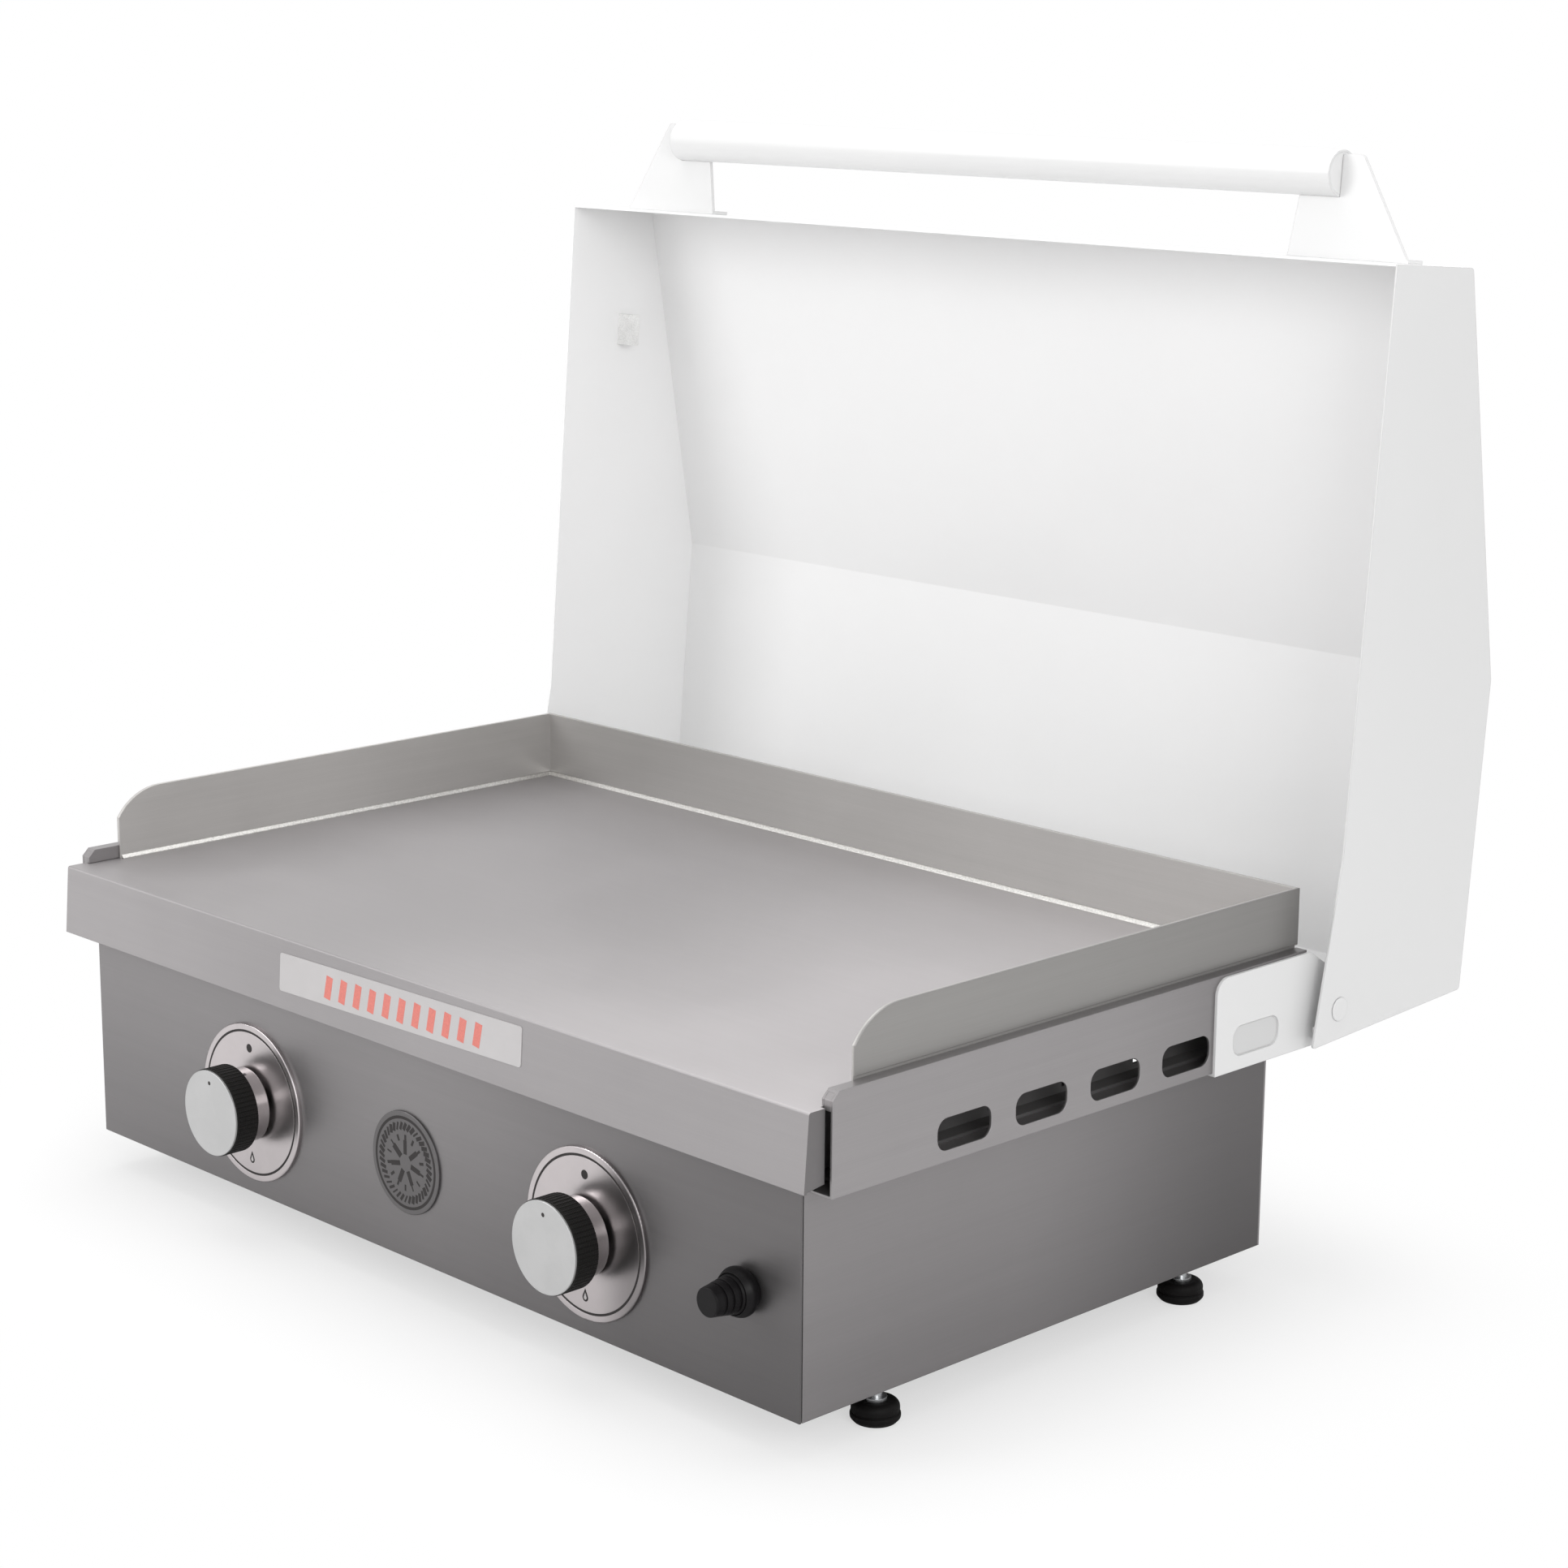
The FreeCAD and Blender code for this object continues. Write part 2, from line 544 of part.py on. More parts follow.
def control_panel():
    """The front sheet, flanged back at the top, with holes for the valve stems and the igniter."""
    body = new_body("control_panel")
    top = "casing_height - plate_under - 0.3"
    pad(body, "YZ_Plane", "-casing_half", "2 * casing_half", [
        ("panel_setback", "0"), ("panel_setback + casing_sheet", "0"),
        ("panel_setback + casing_sheet", f"{top} - casing_sheet"),
        ("panel_setback + casing_flange", f"{top} - casing_sheet"),
        ("panel_setback + casing_flange", top), ("panel_setback", top)])
    cut(body, "XZ_Plane", "panel_setback - 1", "casing_sheet + 2",
        ("knob_half", "knob_height", "bezel_hole_radius"),
        ("-knob_half", "knob_height", "bezel_hole_radius"),
        ("plate_half - igniter_inset", "igniter_rise", "igniter_body_radius + 0.2"))
    wing = [("casing_half + 1", f"{top} + 1"), ("casing_half - support_inset - 3", f"{top} + 1"),
            ("casing_half - support_inset - 3", "casing_height - rail_drop"),
            ("casing_half + 1", "casing_height - rail_drop")]
    other = [(f"-({x})", z) for x, z in wing]
    cut(body, "XZ_Plane", "panel_setback + casing_sheet", "casing_flange + 1", wing, other)
    kept(place(body, y="fascia_y", z="foot_height"), "control_panel")


def side_panels():
    """Side sheets, flanged inward under the vent rails, with an open seam at the front corner."""
    body = new_body("side_panel_right")
    top = "casing_height - rail_drop"
    front = "panel_setback + casing_sheet + corner_seam"
    pad(body, "XZ_Plane", front, f"casing_back - casing_sheet - ({front})", [
        ("casing_half", "0"), ("casing_half", top), ("casing_half - casing_flange", top),
        ("casing_half - casing_flange", f"{top} - casing_sheet"),
        ("casing_half - casing_sheet", f"{top} - casing_sheet"), ("casing_half - casing_sheet", "0")])
    pad(body, "XZ_Plane", "casing_back - 2 * casing_sheet", "casing_sheet", box_corners(
        "casing_half - casing_flange", "casing_half - casing_sheet", "pan_lift + pan_flange + 6",
        f"{top} - casing_sheet"))
    cut(body, "XZ_Plane", "casing_back - 2 * casing_sheet - 1", "casing_sheet + 2",
        *[(x, z, "screw_radius") for x, z in screw_places() if z == SCREW_HIGH and x[0] != "-"])
    pair(place(body, y="fascia_y", z="foot_height"), "side_panel_right", "side_panel_left")


def rear_panel():
    """The back sheet, flanged forward at the top, with louvre slots and the gas inlet's hole."""
    body = new_body("rear_panel")
    top = "casing_height - plate_under - 0.3"
    pad(body, "YZ_Plane", "-casing_half", "2 * casing_half", [
        ("casing_back - casing_sheet", "0"), ("casing_back", "0"), ("casing_back", top),
        ("casing_back - casing_flange", top), ("casing_back - casing_flange", f"{top} - casing_sheet"),
        ("casing_back - casing_sheet", f"{top} - casing_sheet")])
    wing = [("casing_half + 1", f"{top} + 1"), ("casing_half - support_inset - 3", f"{top} + 1"),
            ("casing_half - support_inset - 3", "casing_height - rail_drop"),
            ("casing_half + 1", "casing_height - rail_drop")]
    other = [(f"-({x})", z) for x, z in wing]
    cut(body, "XZ_Plane", "casing_back - casing_flange - 1", "casing_flange + 2", wing, other)
    cut(body, "XZ_Plane", "casing_back - casing_sheet - 1", "casing_sheet + 2",
        ("feed_x", "knob_height", "inlet_thread_radius + 0.3"))
    row = "casing_height - rail_drop - louvre_drop"
    start = "-louvre_pitch * (louvre_count - 1) / 2"
    cut(body, "XZ_Plane", "casing_back - casing_sheet - 1", "casing_sheet + 2",
        *[(x, z, "screw_radius + 0.2") for x, z in screw_places()])
    louvre = cut(body, "XZ_Plane", "casing_back - casing_sheet - 1", "casing_sheet + 2",
                 box_corners(f"{start} - louvre_length / 2", f"{start} + louvre_length / 2",
                             f"{row} - louvre_height / 2", f"{row} + louvre_height / 2",
                             "louvre_height / 2 - 0.2"))
    repeat(body, louvre, "louvre_pitch", "louvre_count")
    kept(place(body, y="fascia_y", z="foot_height"), "rear_panel")


def base_pan():
    """The bottom tray, with turned-up sides, foot holes and air intake slots."""
    body = new_body("base_pan")
    side = "casing_half - casing_sheet"
    front = "panel_setback + casing_sheet"
    back = "casing_back - casing_sheet"
    pad(body, "XY_Plane", "pan_lift", "pan_flange", box_corners(f"-({side})", side, front, back))
    cut(body, "XY_Plane", "pan_lift + casing_sheet", "pan_flange",
        box_corners(f"-({side}) + casing_sheet", f"{side} - casing_sheet",
                    f"{front} + casing_sheet", f"{back} - casing_sheet"))
    foot_x, near, far = foot_places()
    cut(body, "XY_Plane", "pan_lift - 1", "casing_sheet + 2",
        *[(x, y, "foot_stud_radius + 0.2") for x in (foot_x, f"-({foot_x})") for y in (near, far)])
    cut(body, "XZ_Plane", f"{back} - casing_sheet - 1", "casing_sheet + 2",
        *[(x, z, "screw_radius") for x, z in screw_places() if z == SCREW_LOW])
    start = "-intake_pitch * (intake_count - 1) / 2"
    middle = f"({front} + {back}) / 2"
    intake = cut(body, "XY_Plane", "pan_lift - 1", "casing_sheet + 2",
                 box_corners(f"{start} - intake_width / 2", f"{start} + intake_width / 2",
                             f"{middle} - intake_length / 2", f"{middle} + intake_length / 2",
                             "intake_width / 2 - 0.2"))
    repeat(body, intake, "intake_pitch", "intake_count")
    kept(place(body, y="fascia_y", z="foot_height"), "base_pan")


# ---- feet ------------------------------------------------------------------------------------------

def foot_places():
    return ("casing_half - foot_side_inset", "panel_setback + foot_front_inset",
            "casing_back - foot_back_inset")


def feet():
    """Four rubber pads on threaded studs, each stud held to the base pan between two nuts."""
    foot_x, near, far = foot_places()
    pads, studs, nuts = [], [], []
    for where, y in (("front", near), ("back", far)):
        pads.append(turned_z(f"foot_pad_{where}", [
            ("0", "0"), ("foot_radius - 2.4", "0", "1"), ("foot_radius", "2.6", "2"),
            ("foot_radius", "5.4", "0.8"), ("foot_radius - 1.2", "6", "0.3"), ("foot_radius - 0.6", "7", "0.3"),
            ("foot_radius - 0.6", "foot_pad_height", "4.5"), ("0", "foot_pad_height")]))
        cut(pads[-1], "XY_Plane", "foot_pad_height - foot_stud_bite", "foot_stud_bite + 1",
            ("0", "0", "foot_stud_radius"))
        studs.append(turned_z(f"foot_stud_{where}", [
            ("0", "foot_pad_height - foot_stud_bite"), ("foot_stud_radius", "foot_pad_height - foot_stud_bite"),
            ("foot_stud_radius", "foot_pad_height"), ("foot_stud_radius + 3", "foot_pad_height"),
            ("foot_stud_radius + 3", "foot_pad_height + 2"), ("foot_stud_radius", "foot_pad_height + 2"),
            ("foot_stud_radius", "foot_height + pan_lift + casing_sheet + foot_nut_height + 3"),
            ("0", "foot_height + pan_lift + casing_sheet + foot_nut_height + 3")]))
        for level, floor in (("upper", "foot_height + pan_lift + casing_sheet"),
                             ("lower", "foot_height + pan_lift - foot_nut_height")):
            nut = new_body(f"foot_nut_{where}_{level}")
            pad(nut, "XY_Plane", floor, "foot_nut_height", hexagon("foot_nut_flats"),
                ("0", "0", "foot_stud_radius"))
            nuts.append(place(nut, foot_x, f"fascia_y + {y}"))
        for piece in (pads[-1], studs[-1]):
            place(piece, foot_x, f"fascia_y + {y}")
    both_sides("foot_pads", *pads)
    both_sides("foot_studs", *studs)
    both_sides("foot_nuts", *nuts)


def hexagon(flats, x="0", y="0"):
    """Corners of a hexagon of a given width across its flats."""
    corners = []
    for step in range(6):
        angle = f"{60 * step}deg"
        corners.append((f"{x} + {flats} / sqrt(3) * cos({angle})", f"{y} + {flats} / sqrt(3) * sin({angle})"))
    return corners


# ---- knobs and their trim --------------------------------------------------------------------------

def knob_bezels():
    """Polished discs behind the knobs, each with an engraved ring near its rim."""
    body = turned_y("knob_bezel_right", [
        ("bezel_hole_radius", "0"), ("bezel_hole_radius", "-bezel_thickness"),
        ("bezel_groove_radius - bezel_groove / 2", "-bezel_thickness"),
        ("bezel_groove_radius - bezel_groove / 2", "-bezel_thickness + 0.5"),
        ("bezel_groove_radius + bezel_groove / 2", "-bezel_thickness + 0.5"),
        ("bezel_groove_radius + bezel_groove / 2", "-bezel_thickness"),
        ("bezel_radius", "-bezel_thickness", "0.8"), ("bezel_radius", "0")])
    pair(place(body, "knob_half", "panel_y", "knob_z"), "knob_bezel_right", "knob_bezel_left")


def front_badge():
    """A plain round plaque between the knobs."""
    body = turned_y("front_badge", [
        ("0", "0"), ("0", "-badge_thickness"), ("badge_radius - 5", "-badge_thickness"),
        ("badge_radius - 5", "-badge_thickness + 0.5"), ("badge_radius - 3.5", "-badge_thickness + 0.5"),
        ("badge_radius - 3.5", "-badge_thickness"), ("badge_radius", "-badge_thickness", "0.5"),
        ("badge_radius", "0")])
    kept(place(body, "badge_shift", "panel_y", "knob_z"), "front_badge")


def fascia_label():
    """A blank adhesive strip on the leaning fascia, a little crooked."""
    body = new_body("fascia_label")
    corners = []
    for x, z in ((-1, -1), (1, -1), (1, 1), (-1, 1)):
        x, z = f"({x} * label_width / 2)", f"({z} * label_height / 2)"
        corners.append((f"{x} * cos(label_tilt * 1deg) - {z} * sin(label_tilt * 1deg)",
                        f"{x} * sin(label_tilt * 1deg) + {z} * cos(label_tilt * 1deg)", "2"))
    pad(body, "XZ_Plane", "-label_thickness", "label_thickness", corners)
    body.Placement.Rotation = FreeCAD.Rotation(FreeCAD.Vector(-1, 0, 0), 4.0)
    body.setExpression("Placement.Rotation.Angle", full("atan(fascia_lean / fascia_height)"))
    place(body, "label_shift", "fascia_y - fascia_lean * label_drop / fascia_height", "top_z - label_drop")
    kept(body, "fascia_label")


def knobs():
    """Each knob: a brushed face in a knurled grip, a bright skirt behind it, on the valve's stem."""
    face_y = "-knob_reach"
    grip_y = f"{face_y} + knob_face_thickness"
    skirt_y = f"{grip_y} + knob_grip_length"
    face = turned_y("knob_face_right", [
        ("0", face_y), ("knob_radius - 0.6", face_y, "0.4"), ("knob_radius - 0.6", grip_y), ("0", grip_y)])
    cut(face, "XZ_Plane", f"{face_y} - 1", "pointer_depth + 1", ("0", "pointer_offset", "pointer_radius"))
    grip = turned_y("knob_grip_right", [
        ("0", grip_y), ("knob_radius", grip_y, "0.5"), ("knob_radius", skirt_y, "0.8"),
        ("stem_radius + 4", skirt_y), ("stem_radius + 4", f"{skirt_y} + 6"),
        ("stem_radius", f"{skirt_y} + 6"), ("stem_radius", f"{grip_y} + knob_grip_length - stem_grip_depth"),
        ("0", f"{grip_y} + knob_grip_length - stem_grip_depth")])
    flute = cut(grip, "XZ_Plane", f"{grip_y} + 1", "knob_grip_length", ("knob_radius + 0.3", "0", "knurl_radius"))
    repeat_round(grip, flute, "knurl_count")
    skirt = turned_y("knob_skirt_right", [
        ("stem_radius + 4", skirt_y), ("knob_skirt_radius", skirt_y),
        ("knob_skirt_radius", f"{skirt_y} + knob_skirt_length", "1"),
        ("knob_skirt_radius - knob_wall", f"{skirt_y} + knob_skirt_length"),
        ("knob_skirt_radius - knob_wall", f"{skirt_y} + knob_wall"),
        ("stem_radius + 4", f"{skirt_y} + knob_wall")])
    stem_end = f"{grip_y} + knob_grip_length - stem_grip_depth"
    collar_y = "casing_sheet + collar_gap"
    stem = turned_y("valve_stem_right", [
        ("0", stem_end), ("stem_radius", stem_end), ("stem_radius", "stem_reach"), ("0", "stem_reach")])
    collar = turned_y("stem_collar_right", [
        ("stem_radius + run_clearance", collar_y), ("collar_radius", collar_y),
        ("collar_radius", f"{collar_y} + collar_length"),
        ("stem_radius + run_clearance", f"{collar_y} + collar_length")])
    for piece in (face, grip, skirt, stem, collar):
        place(piece, "knob_half", "panel_y", "knob_z")
        pair(piece, piece.Name, piece.Name.replace("right", "left"))


# ---- gas train -------------------------------------------------------------------------------------

def gas_valves():
    """Brass valve bodies behind the panel, bored for the stems."""
    body = new_body("gas_valve_right")
    pad(body, "XZ_Plane", "0", "valve_length", box_corners(
        "-valve_width / 2", "valve_width / 2", "-valve_height / 2", "valve_height / 2", "3"))
    pad(body, "XY_Plane", "valve_height / 2 - 1", "burner_height - knob_height - valve_height / 2 + 9",
        ("0", "valve_length - 14", "8"))
    cut(body, "XZ_Plane", "-1", "stem_reach - casing_sheet - valve_front_gap + push_travel + 3",
        ("0", "0", "stem_radius + run_clearance"))
    pair(place(body, "knob_half", "fascia_y + valve_y", "knob_z"), "gas_valve_right", "gas_valve_left")


def gas_pipes():
    """The manifold that feeds both valves, its run to the back, and the threaded inlet."""
    inner = "manifold_radius - manifold_wall"
    manifold = pipe("gas_manifold", "XY_Plane", "0", "manifold_radius", inner, [
        ("-knob_half - manifold_end", "manifold_y"), ("feed_x", "manifold_y", "30"),
        ("feed_x", "casing_back - inlet_hex_length - 8")])
    kept(place(manifold, y="fascia_y", z="knob_z"), "gas_manifold")
    plug = turned_x("manifold_plug", [
        ("-6", "0"), ("-6", "manifold_radius"), ("0", "manifold_radius"),
        ("0", inner), ("6", inner), ("6", "0")])
    kept(place(plug, "-knob_half - manifold_end", "fascia_y + manifold_y", "knob_z"), "manifold_plug")
    inlet = new_body("gas_inlet")
    hex_start = "casing_back - casing_sheet - inlet_hex_length"
    pad(inlet, "XZ_Plane", hex_start, "inlet_hex_length", hexagon("inlet_hex_flats"))
    pad(inlet, "XZ_Plane", "casing_back - casing_sheet", "casing_sheet + inlet_neck",
        ("0", "0", "inlet_neck_radius"))
    pad(inlet, "XZ_Plane", "casing_back + inlet_neck", "inlet_thread_length",
        ("0", "0", "inlet_thread_radius"))
    cut(inlet, "XZ_Plane", hex_start + " - 1",
        "inlet_hex_length + casing_sheet + inlet_neck + inlet_thread_length + 2", ("0", "0", "inlet_bore_radius"))
    cut(inlet, "XZ_Plane", hex_start + " - 1", "4", ("0", "0", "manifold_radius"))
    kept(place(inlet, "feed_x", "fascia_y", "knob_z"), "gas_inlet")


def burners():
    """Tubular U burners, the jet pipes that feed them and the saddles that hold their far ends."""
    leg = "burner_spread / 2"
    burner = pipe("burner_right", "XY_Plane", "0", "burner_radius", "burner_radius - burner_wall", [
        (f"-{leg}", "burner_front"), (f"-{leg}", "burner_back", f"{leg} - 1"),
        (leg, "burner_back", f"{leg} - 1"), (leg, "burner_front")])
    pair(place(burner, "knob_half", "fascia_y", "burner_z"), "burner_right", "burner_left")
    outlet_y = "valve_y + valve_length - 14"
    jet = pipe("jet_pipe_right", "XY_Plane", "0", "jet_radius", "jet_radius - 1.5", [
        ("-8", outlet_y), (f"-{leg}", outlet_y, "12"), (f"-{leg}", "burner_front + 6")])
    both_sides("jet_pipes", place(jet, "knob_half", "fascia_y", "burner_z"))
    end_plug = turned_y("burner_end_plug", [
        ("0", "-3"), ("burner_radius", "-3"), ("burner_radius", "0"),
        ("burner_radius - burner_wall", "0"), ("burner_radius - burner_wall", "6"), ("0", "6")])
    place(end_plug, f"knob_half + {leg}", "fascia_y + burner_front", "burner_z")
    both_sides("burner_end_plugs", end_plug)
    burner_saddle()


def burner_saddle():
    """Two bars on posts under the burners; the front one also holds the electrodes."""
    body = new_body("burner_saddles")
    under = "burner_height - burner_radius"
    floor = "pan_lift + casing_sheet"
    reach = "knob_half + burner_spread / 2 + 30"
    bar = pad(body, "XZ_Plane", "burner_front + saddle_start", "saddle_width", [
        (f"-({reach})", floor), (f"-({reach}) + saddle_sheet", floor),
        (f"-({reach}) + saddle_sheet", f"{under} - saddle_sheet"),
        (f"{reach} - saddle_sheet", f"{under} - saddle_sheet"), (f"{reach} - saddle_sheet", floor),
        (reach, floor), (reach, under), (f"-({reach})", under)])
    pattern = body.newObject("PartDesign::LinearPattern", "saddle_pattern")
    pattern.Originals = [bar]
    pattern.Direction = (bar.Profile[0], ["N_Axis"])
    pattern.Reversed = True
    pattern.setExpression("Length", full("burner_back - burner_front - 2 * saddle_start - 60"))
    pattern.Occurrences = 2
    body.Tip = pattern
    cut(body, "XY_Plane", f"{under} - saddle_sheet - 1", "saddle_sheet + 2",
        *[(f"{side}electrode_x", "electrode_y", "electrode_radius") for side in ("", "-")])
    kept(place(body, y="fascia_y", z="foot_height"), "burner_saddles")


# ---- ignition --------------------------------------------------------------------------------------

def igniter():
    """A piezo push button: black collar and ribbed button in front, its body behind the panel."""
    where = ("plate_half - igniter_inset", "panel_y", "foot_height + igniter_rise")
    bore = "igniter_button_radius + 0.4"
    collar = turned_y("igniter_collar", [
        ("igniter_body_radius + 0.4", "0"), ("igniter_collar_radius - 3", "0", "0.8"),
        ("igniter_collar_radius + 1", "-igniter_collar_length / 2", "6"),
        ("igniter_button_radius + 1", "-igniter_collar_length"),
        (bore, "-igniter_collar_length"), (bore, "-3"), ("igniter_body_radius + 0.4", "-3")])
    kept(place(collar, *where), "igniter_collar")
    ribs = [("0", "-igniter_reach"), ("igniter_tip_radius", "-igniter_reach", "1")]
    rib_y = ["-igniter_reach + 6", "-igniter_reach + 11", "-igniter_reach + 16"]
    for step, y in enumerate(rib_y):
        radius = f"igniter_tip_radius + (igniter_button_radius - igniter_tip_radius) * {step + 1} / 4"
        ribs += [(radius, y), (f"{radius} - 1", f"{y} + 0.2"), (f"{radius} - 1", f"{y} + 1.6"),
                 (f"{radius} + 0.3", f"{y} + 1.8")]
    inner_end = "-2.6 - igniter_travel + 5"
    ribs += [("igniter_button_radius", "-igniter_collar_length"),
             ("igniter_button_radius", "-3 - igniter_travel - 0.4"),
             ("igniter_rod_radius", "-3 - igniter_travel - 0.4"),
             ("igniter_rod_radius", f"{inner_end} + 12"), ("0", f"{inner_end} + 12")]
    button = turned_y("igniter_button", ribs)
    kept(place(button, *where), "igniter_button")
    rod_bore = "igniter_rod_radius + run_clearance"
    module = turned_y("igniter_module", [
        (rod_bore, "-2.8"), ("igniter_body_radius", "-2.8"), ("igniter_body_radius", "casing_sheet"),
        ("igniter_body_radius + 3", "casing_sheet"), ("igniter_body_radius + 3", "casing_sheet + 4"),
        ("igniter_body_radius", "casing_sheet + 4"), ("igniter_body_radius", "igniter_body_length"),
        ("0", "igniter_body_length"), ("0", f"{inner_end} + 12 + igniter_travel + 1"),
        (rod_bore, f"{inner_end} + 12 + igniter_travel + 1")])
    kept(place(module, *where), "igniter_module")
    electrodes()


def electrodes():
    """A ceramic electrode beside each burner's inner leg, and its lead back to the igniter."""
    rod = turned_z("electrode_rod", [
        ("0", "0"), ("electrode_radius", "0"), ("electrode_radius", "electrode_length"),
        ("1.2", "electrode_length"), ("1.2", "electrode_length + 14"), ("0", "electrode_length + 14")])
    place(rod, "electrode_x", "fascia_y + electrode_y", "burner_z - electrode_length - 10")
    both_sides("electrodes", rod)
    start_x = "plate_half - igniter_inset"
    leads = []
    for name, side, shift, turn_gap in (("near", "", "3", "26"), ("far", "-", "-3", "18")):
        turn_y = f"panel_setback + igniter_body_length + {turn_gap}"
        leads.append(pipe(f"lead_{name}", "XY_Plane", "0", "wire_radius", None, [
            (f"{start_x} + {shift}", "panel_setback + igniter_body_length"),
            (f"{start_x} + {shift}", turn_y, "9"), (f"{side}electrode_x", turn_y, "9"),
            (f"{side}electrode_x", "electrode_y - electrode_radius")]))
        place(leads[-1], y="fascia_y", z="foot_height + igniter_rise + 6.5")
    group("ignition_leads", *leads)


# ---- hinges ----------------------------------------------------------------------------------------

def hinge_brackets():
    """Plates on the vent rails that carry the lid's pivots, hooked under the rails and pressed in outside."""
    body = new_body("hinge_bracket_right")
    back = "lid_y + pivot_along * lid_sin + pivot_out * lid_cos"
    height = "-lid_drop + pivot_along * lid_cos - pivot_out * lid_sin"
    front = "guard_back - bracket_reach"
    foot = "-rail_drop - bracket_sheet"
    heel = "lid_y - 1.5"
    pad(body, "YZ_Plane", "rail_half", "bracket_sheet", [
        (front, foot), (heel, foot), (heel, f"{height} - bracket_ear"),
        (f"{back} + bracket_ear", f"{height} - bracket_ear", "bracket_ear - 1"),
        (f"{back} + bracket_ear", f"{height} + 20", "6"), ("guard_back + 2", "bracket_rise"),
        (front, "bracket_rise", "bracket_corner")])
    pad(body, "XZ_Plane", front, "guard_back - 14 - (" + front + ")",
        [("rail_half", foot), ("rail_half", "-rail_drop - 0.05"),
         ("rail_half - bracket_lip", "-rail_drop - 0.05"), ("rail_half - bracket_lip", foot)])
    cut(body, "YZ_Plane", "rail_half - 1", "bracket_sheet + 2", (back, height, "pin_radius"))
    cut(body, "YZ_Plane", "bracket_half - recess_depth", "recess_depth + 1",
        slot_outline("guard_back - recess_back"))
    pair(place(body, y="fascia_y", z="top_z"), "hinge_bracket_right", "hinge_bracket_left")


def hinge_pins():
    """Shoulder bolts through the brackets and the lid's sides, with a spacer between and a nut inside."""
    inside = "lid_half - lid_sheet"
    bolt = turned_x("hinge_pin", [
        ("rail_half - pin_nut - 2", "0"), ("rail_half - pin_nut - 2", "pin_radius"),
        ("lid_half + side_gap", "pin_radius"), ("lid_half + side_gap", "pin_head_radius"),
        ("lid_half + side_gap + pin_head", "pin_head_radius", "1.2"), ("lid_half + side_gap + pin_head", "0")])
    spacer = turned_x("hinge_spacer", [
        ("bracket_half", "pin_radius"), ("bracket_half", "washer_radius"),
        (f"{inside} - side_gap", "washer_radius"), (f"{inside} - side_gap", "pin_radius")])
    nut = new_body("hinge_nut")
    pad(nut, "YZ_Plane", "rail_half - pin_nut", "pin_nut", hexagon("pin_nut_flats"), ("0", "0", "pin_radius"))
    for piece in (bolt, spacer, nut):
        place(piece, "0", "pivot_y + fascia_y", "pivot_z")
    both_sides("hinge_pins", bolt)
    both_sides("hinge_spacers", spacer)
    both_sides("hinge_nuts", nut)


# ---- lid, drawn upright and then leaned back --------------------------------------------------------

def lean_back(part):
    """Stand a lid piece on the lid's own corner at the back of the guard, leaning with the lid."""
    part.Placement = FreeCAD.Placement(FreeCAD.Vector(0, 0, 0),
                                       FreeCAD.Rotation(FreeCAD.Vector(-1, 0, 0), SIZES["lid_lean"]))
    part.setExpression("Placement.Rotation.Angle", full("lid_lean"))
    return place(part, "0", "fascia_y + lid_y", "top_z - lid_drop")


def lid_outline(bend="lid_bend_radius"):
    """The lid's side view as (out, along)."""
    return [("0", "0"), ("lid_back_out", "lid_back_along", bend), ("lid_kink_out", "lid_kink_along", bend),
            ("lid_front_depth", "lid_length", bend), ("0", "lid_length")]


def lid_shell():
    """The lid's folded skin, open at its rim and at both sides."""
    body = new_body("lid_skin")
    block = pad(body, "YZ_Plane", "-(lid_half - lid_sheet)", "2 * (lid_half - lid_sheet)", lid_outline())
    doc.recompute()
    open_faces = []
    for i, face in enumerate(block.Shape.Faces, start=1):
        normal = face.normalAt(0, 0)
        if abs(normal.x) > 0.99 or normal.y < -0.999:
            open_faces.append(f"Face{i}")
    shell = body.newObject("PartDesign::Thickness", "lid_skin_wall")
    shell.Base = (block, open_faces)
    shell.Reversed = True
    shell.setExpression("Value", full("lid_sheet"))
    body.Tip = shell
    kept(lean_back(body), "lid_skin")


def lid_sides():
    """The flat side sheets, each with a hole for its hinge pin and a toe that covers the bracket's heel."""
    body = new_body("lid_side_right")
    toe = [("0", "lid_toe_length"), ("-lid_toe", "-lid_toe * lid_back_along / lid_back_out", "2")]
    pad(body, "YZ_Plane", "lid_half - lid_sheet", "lid_sheet", lid_outline()[1:] + toe)
    cut(body, "YZ_Plane", "lid_half - lid_sheet - 1", "lid_sheet + 2",
        ("pivot_out", "pivot_along", "pin_radius + pin_play"))
    pair(lean_back(body), "lid_side_right", "lid_side_left")


def rest_pads():
    """Silicone pads inside the lid's sides that land on the vent rails when it is shut."""
    body = new_body("rest_pad")
    shut_rim = "-lid_drop + pivot_along * lid_cos - pivot_out * lid_sin - pivot_out"
    land = f"rail_rise - ({shut_rim}) + 0.4"
    pad(body, "XY_Plane", "lid_length - rest_pad_inset", "rest_pad_length",
        box_corners("rail_half - 5", "lid_half - lid_sheet", land, f"{land} + rest_pad_height"))
    both_sides("lid_rest_pads", body)
    lean_back(doc.getObject("lid_rest_pads"))


def buffers():
    """Rubber buffers on the rear panel that the open lid leans on."""
    body = turned_y("buffer", [
        ("0", "casing_back"), ("buffer_radius", "casing_back"),
        ("buffer_radius", "lid_y - buffer_play", "1.5"), ("0", "lid_y - buffer_play")])
    place(body, "casing_half - 60", "fascia_y", "top_z - lid_drop + 1")
    both_sides("lid_buffers", body)


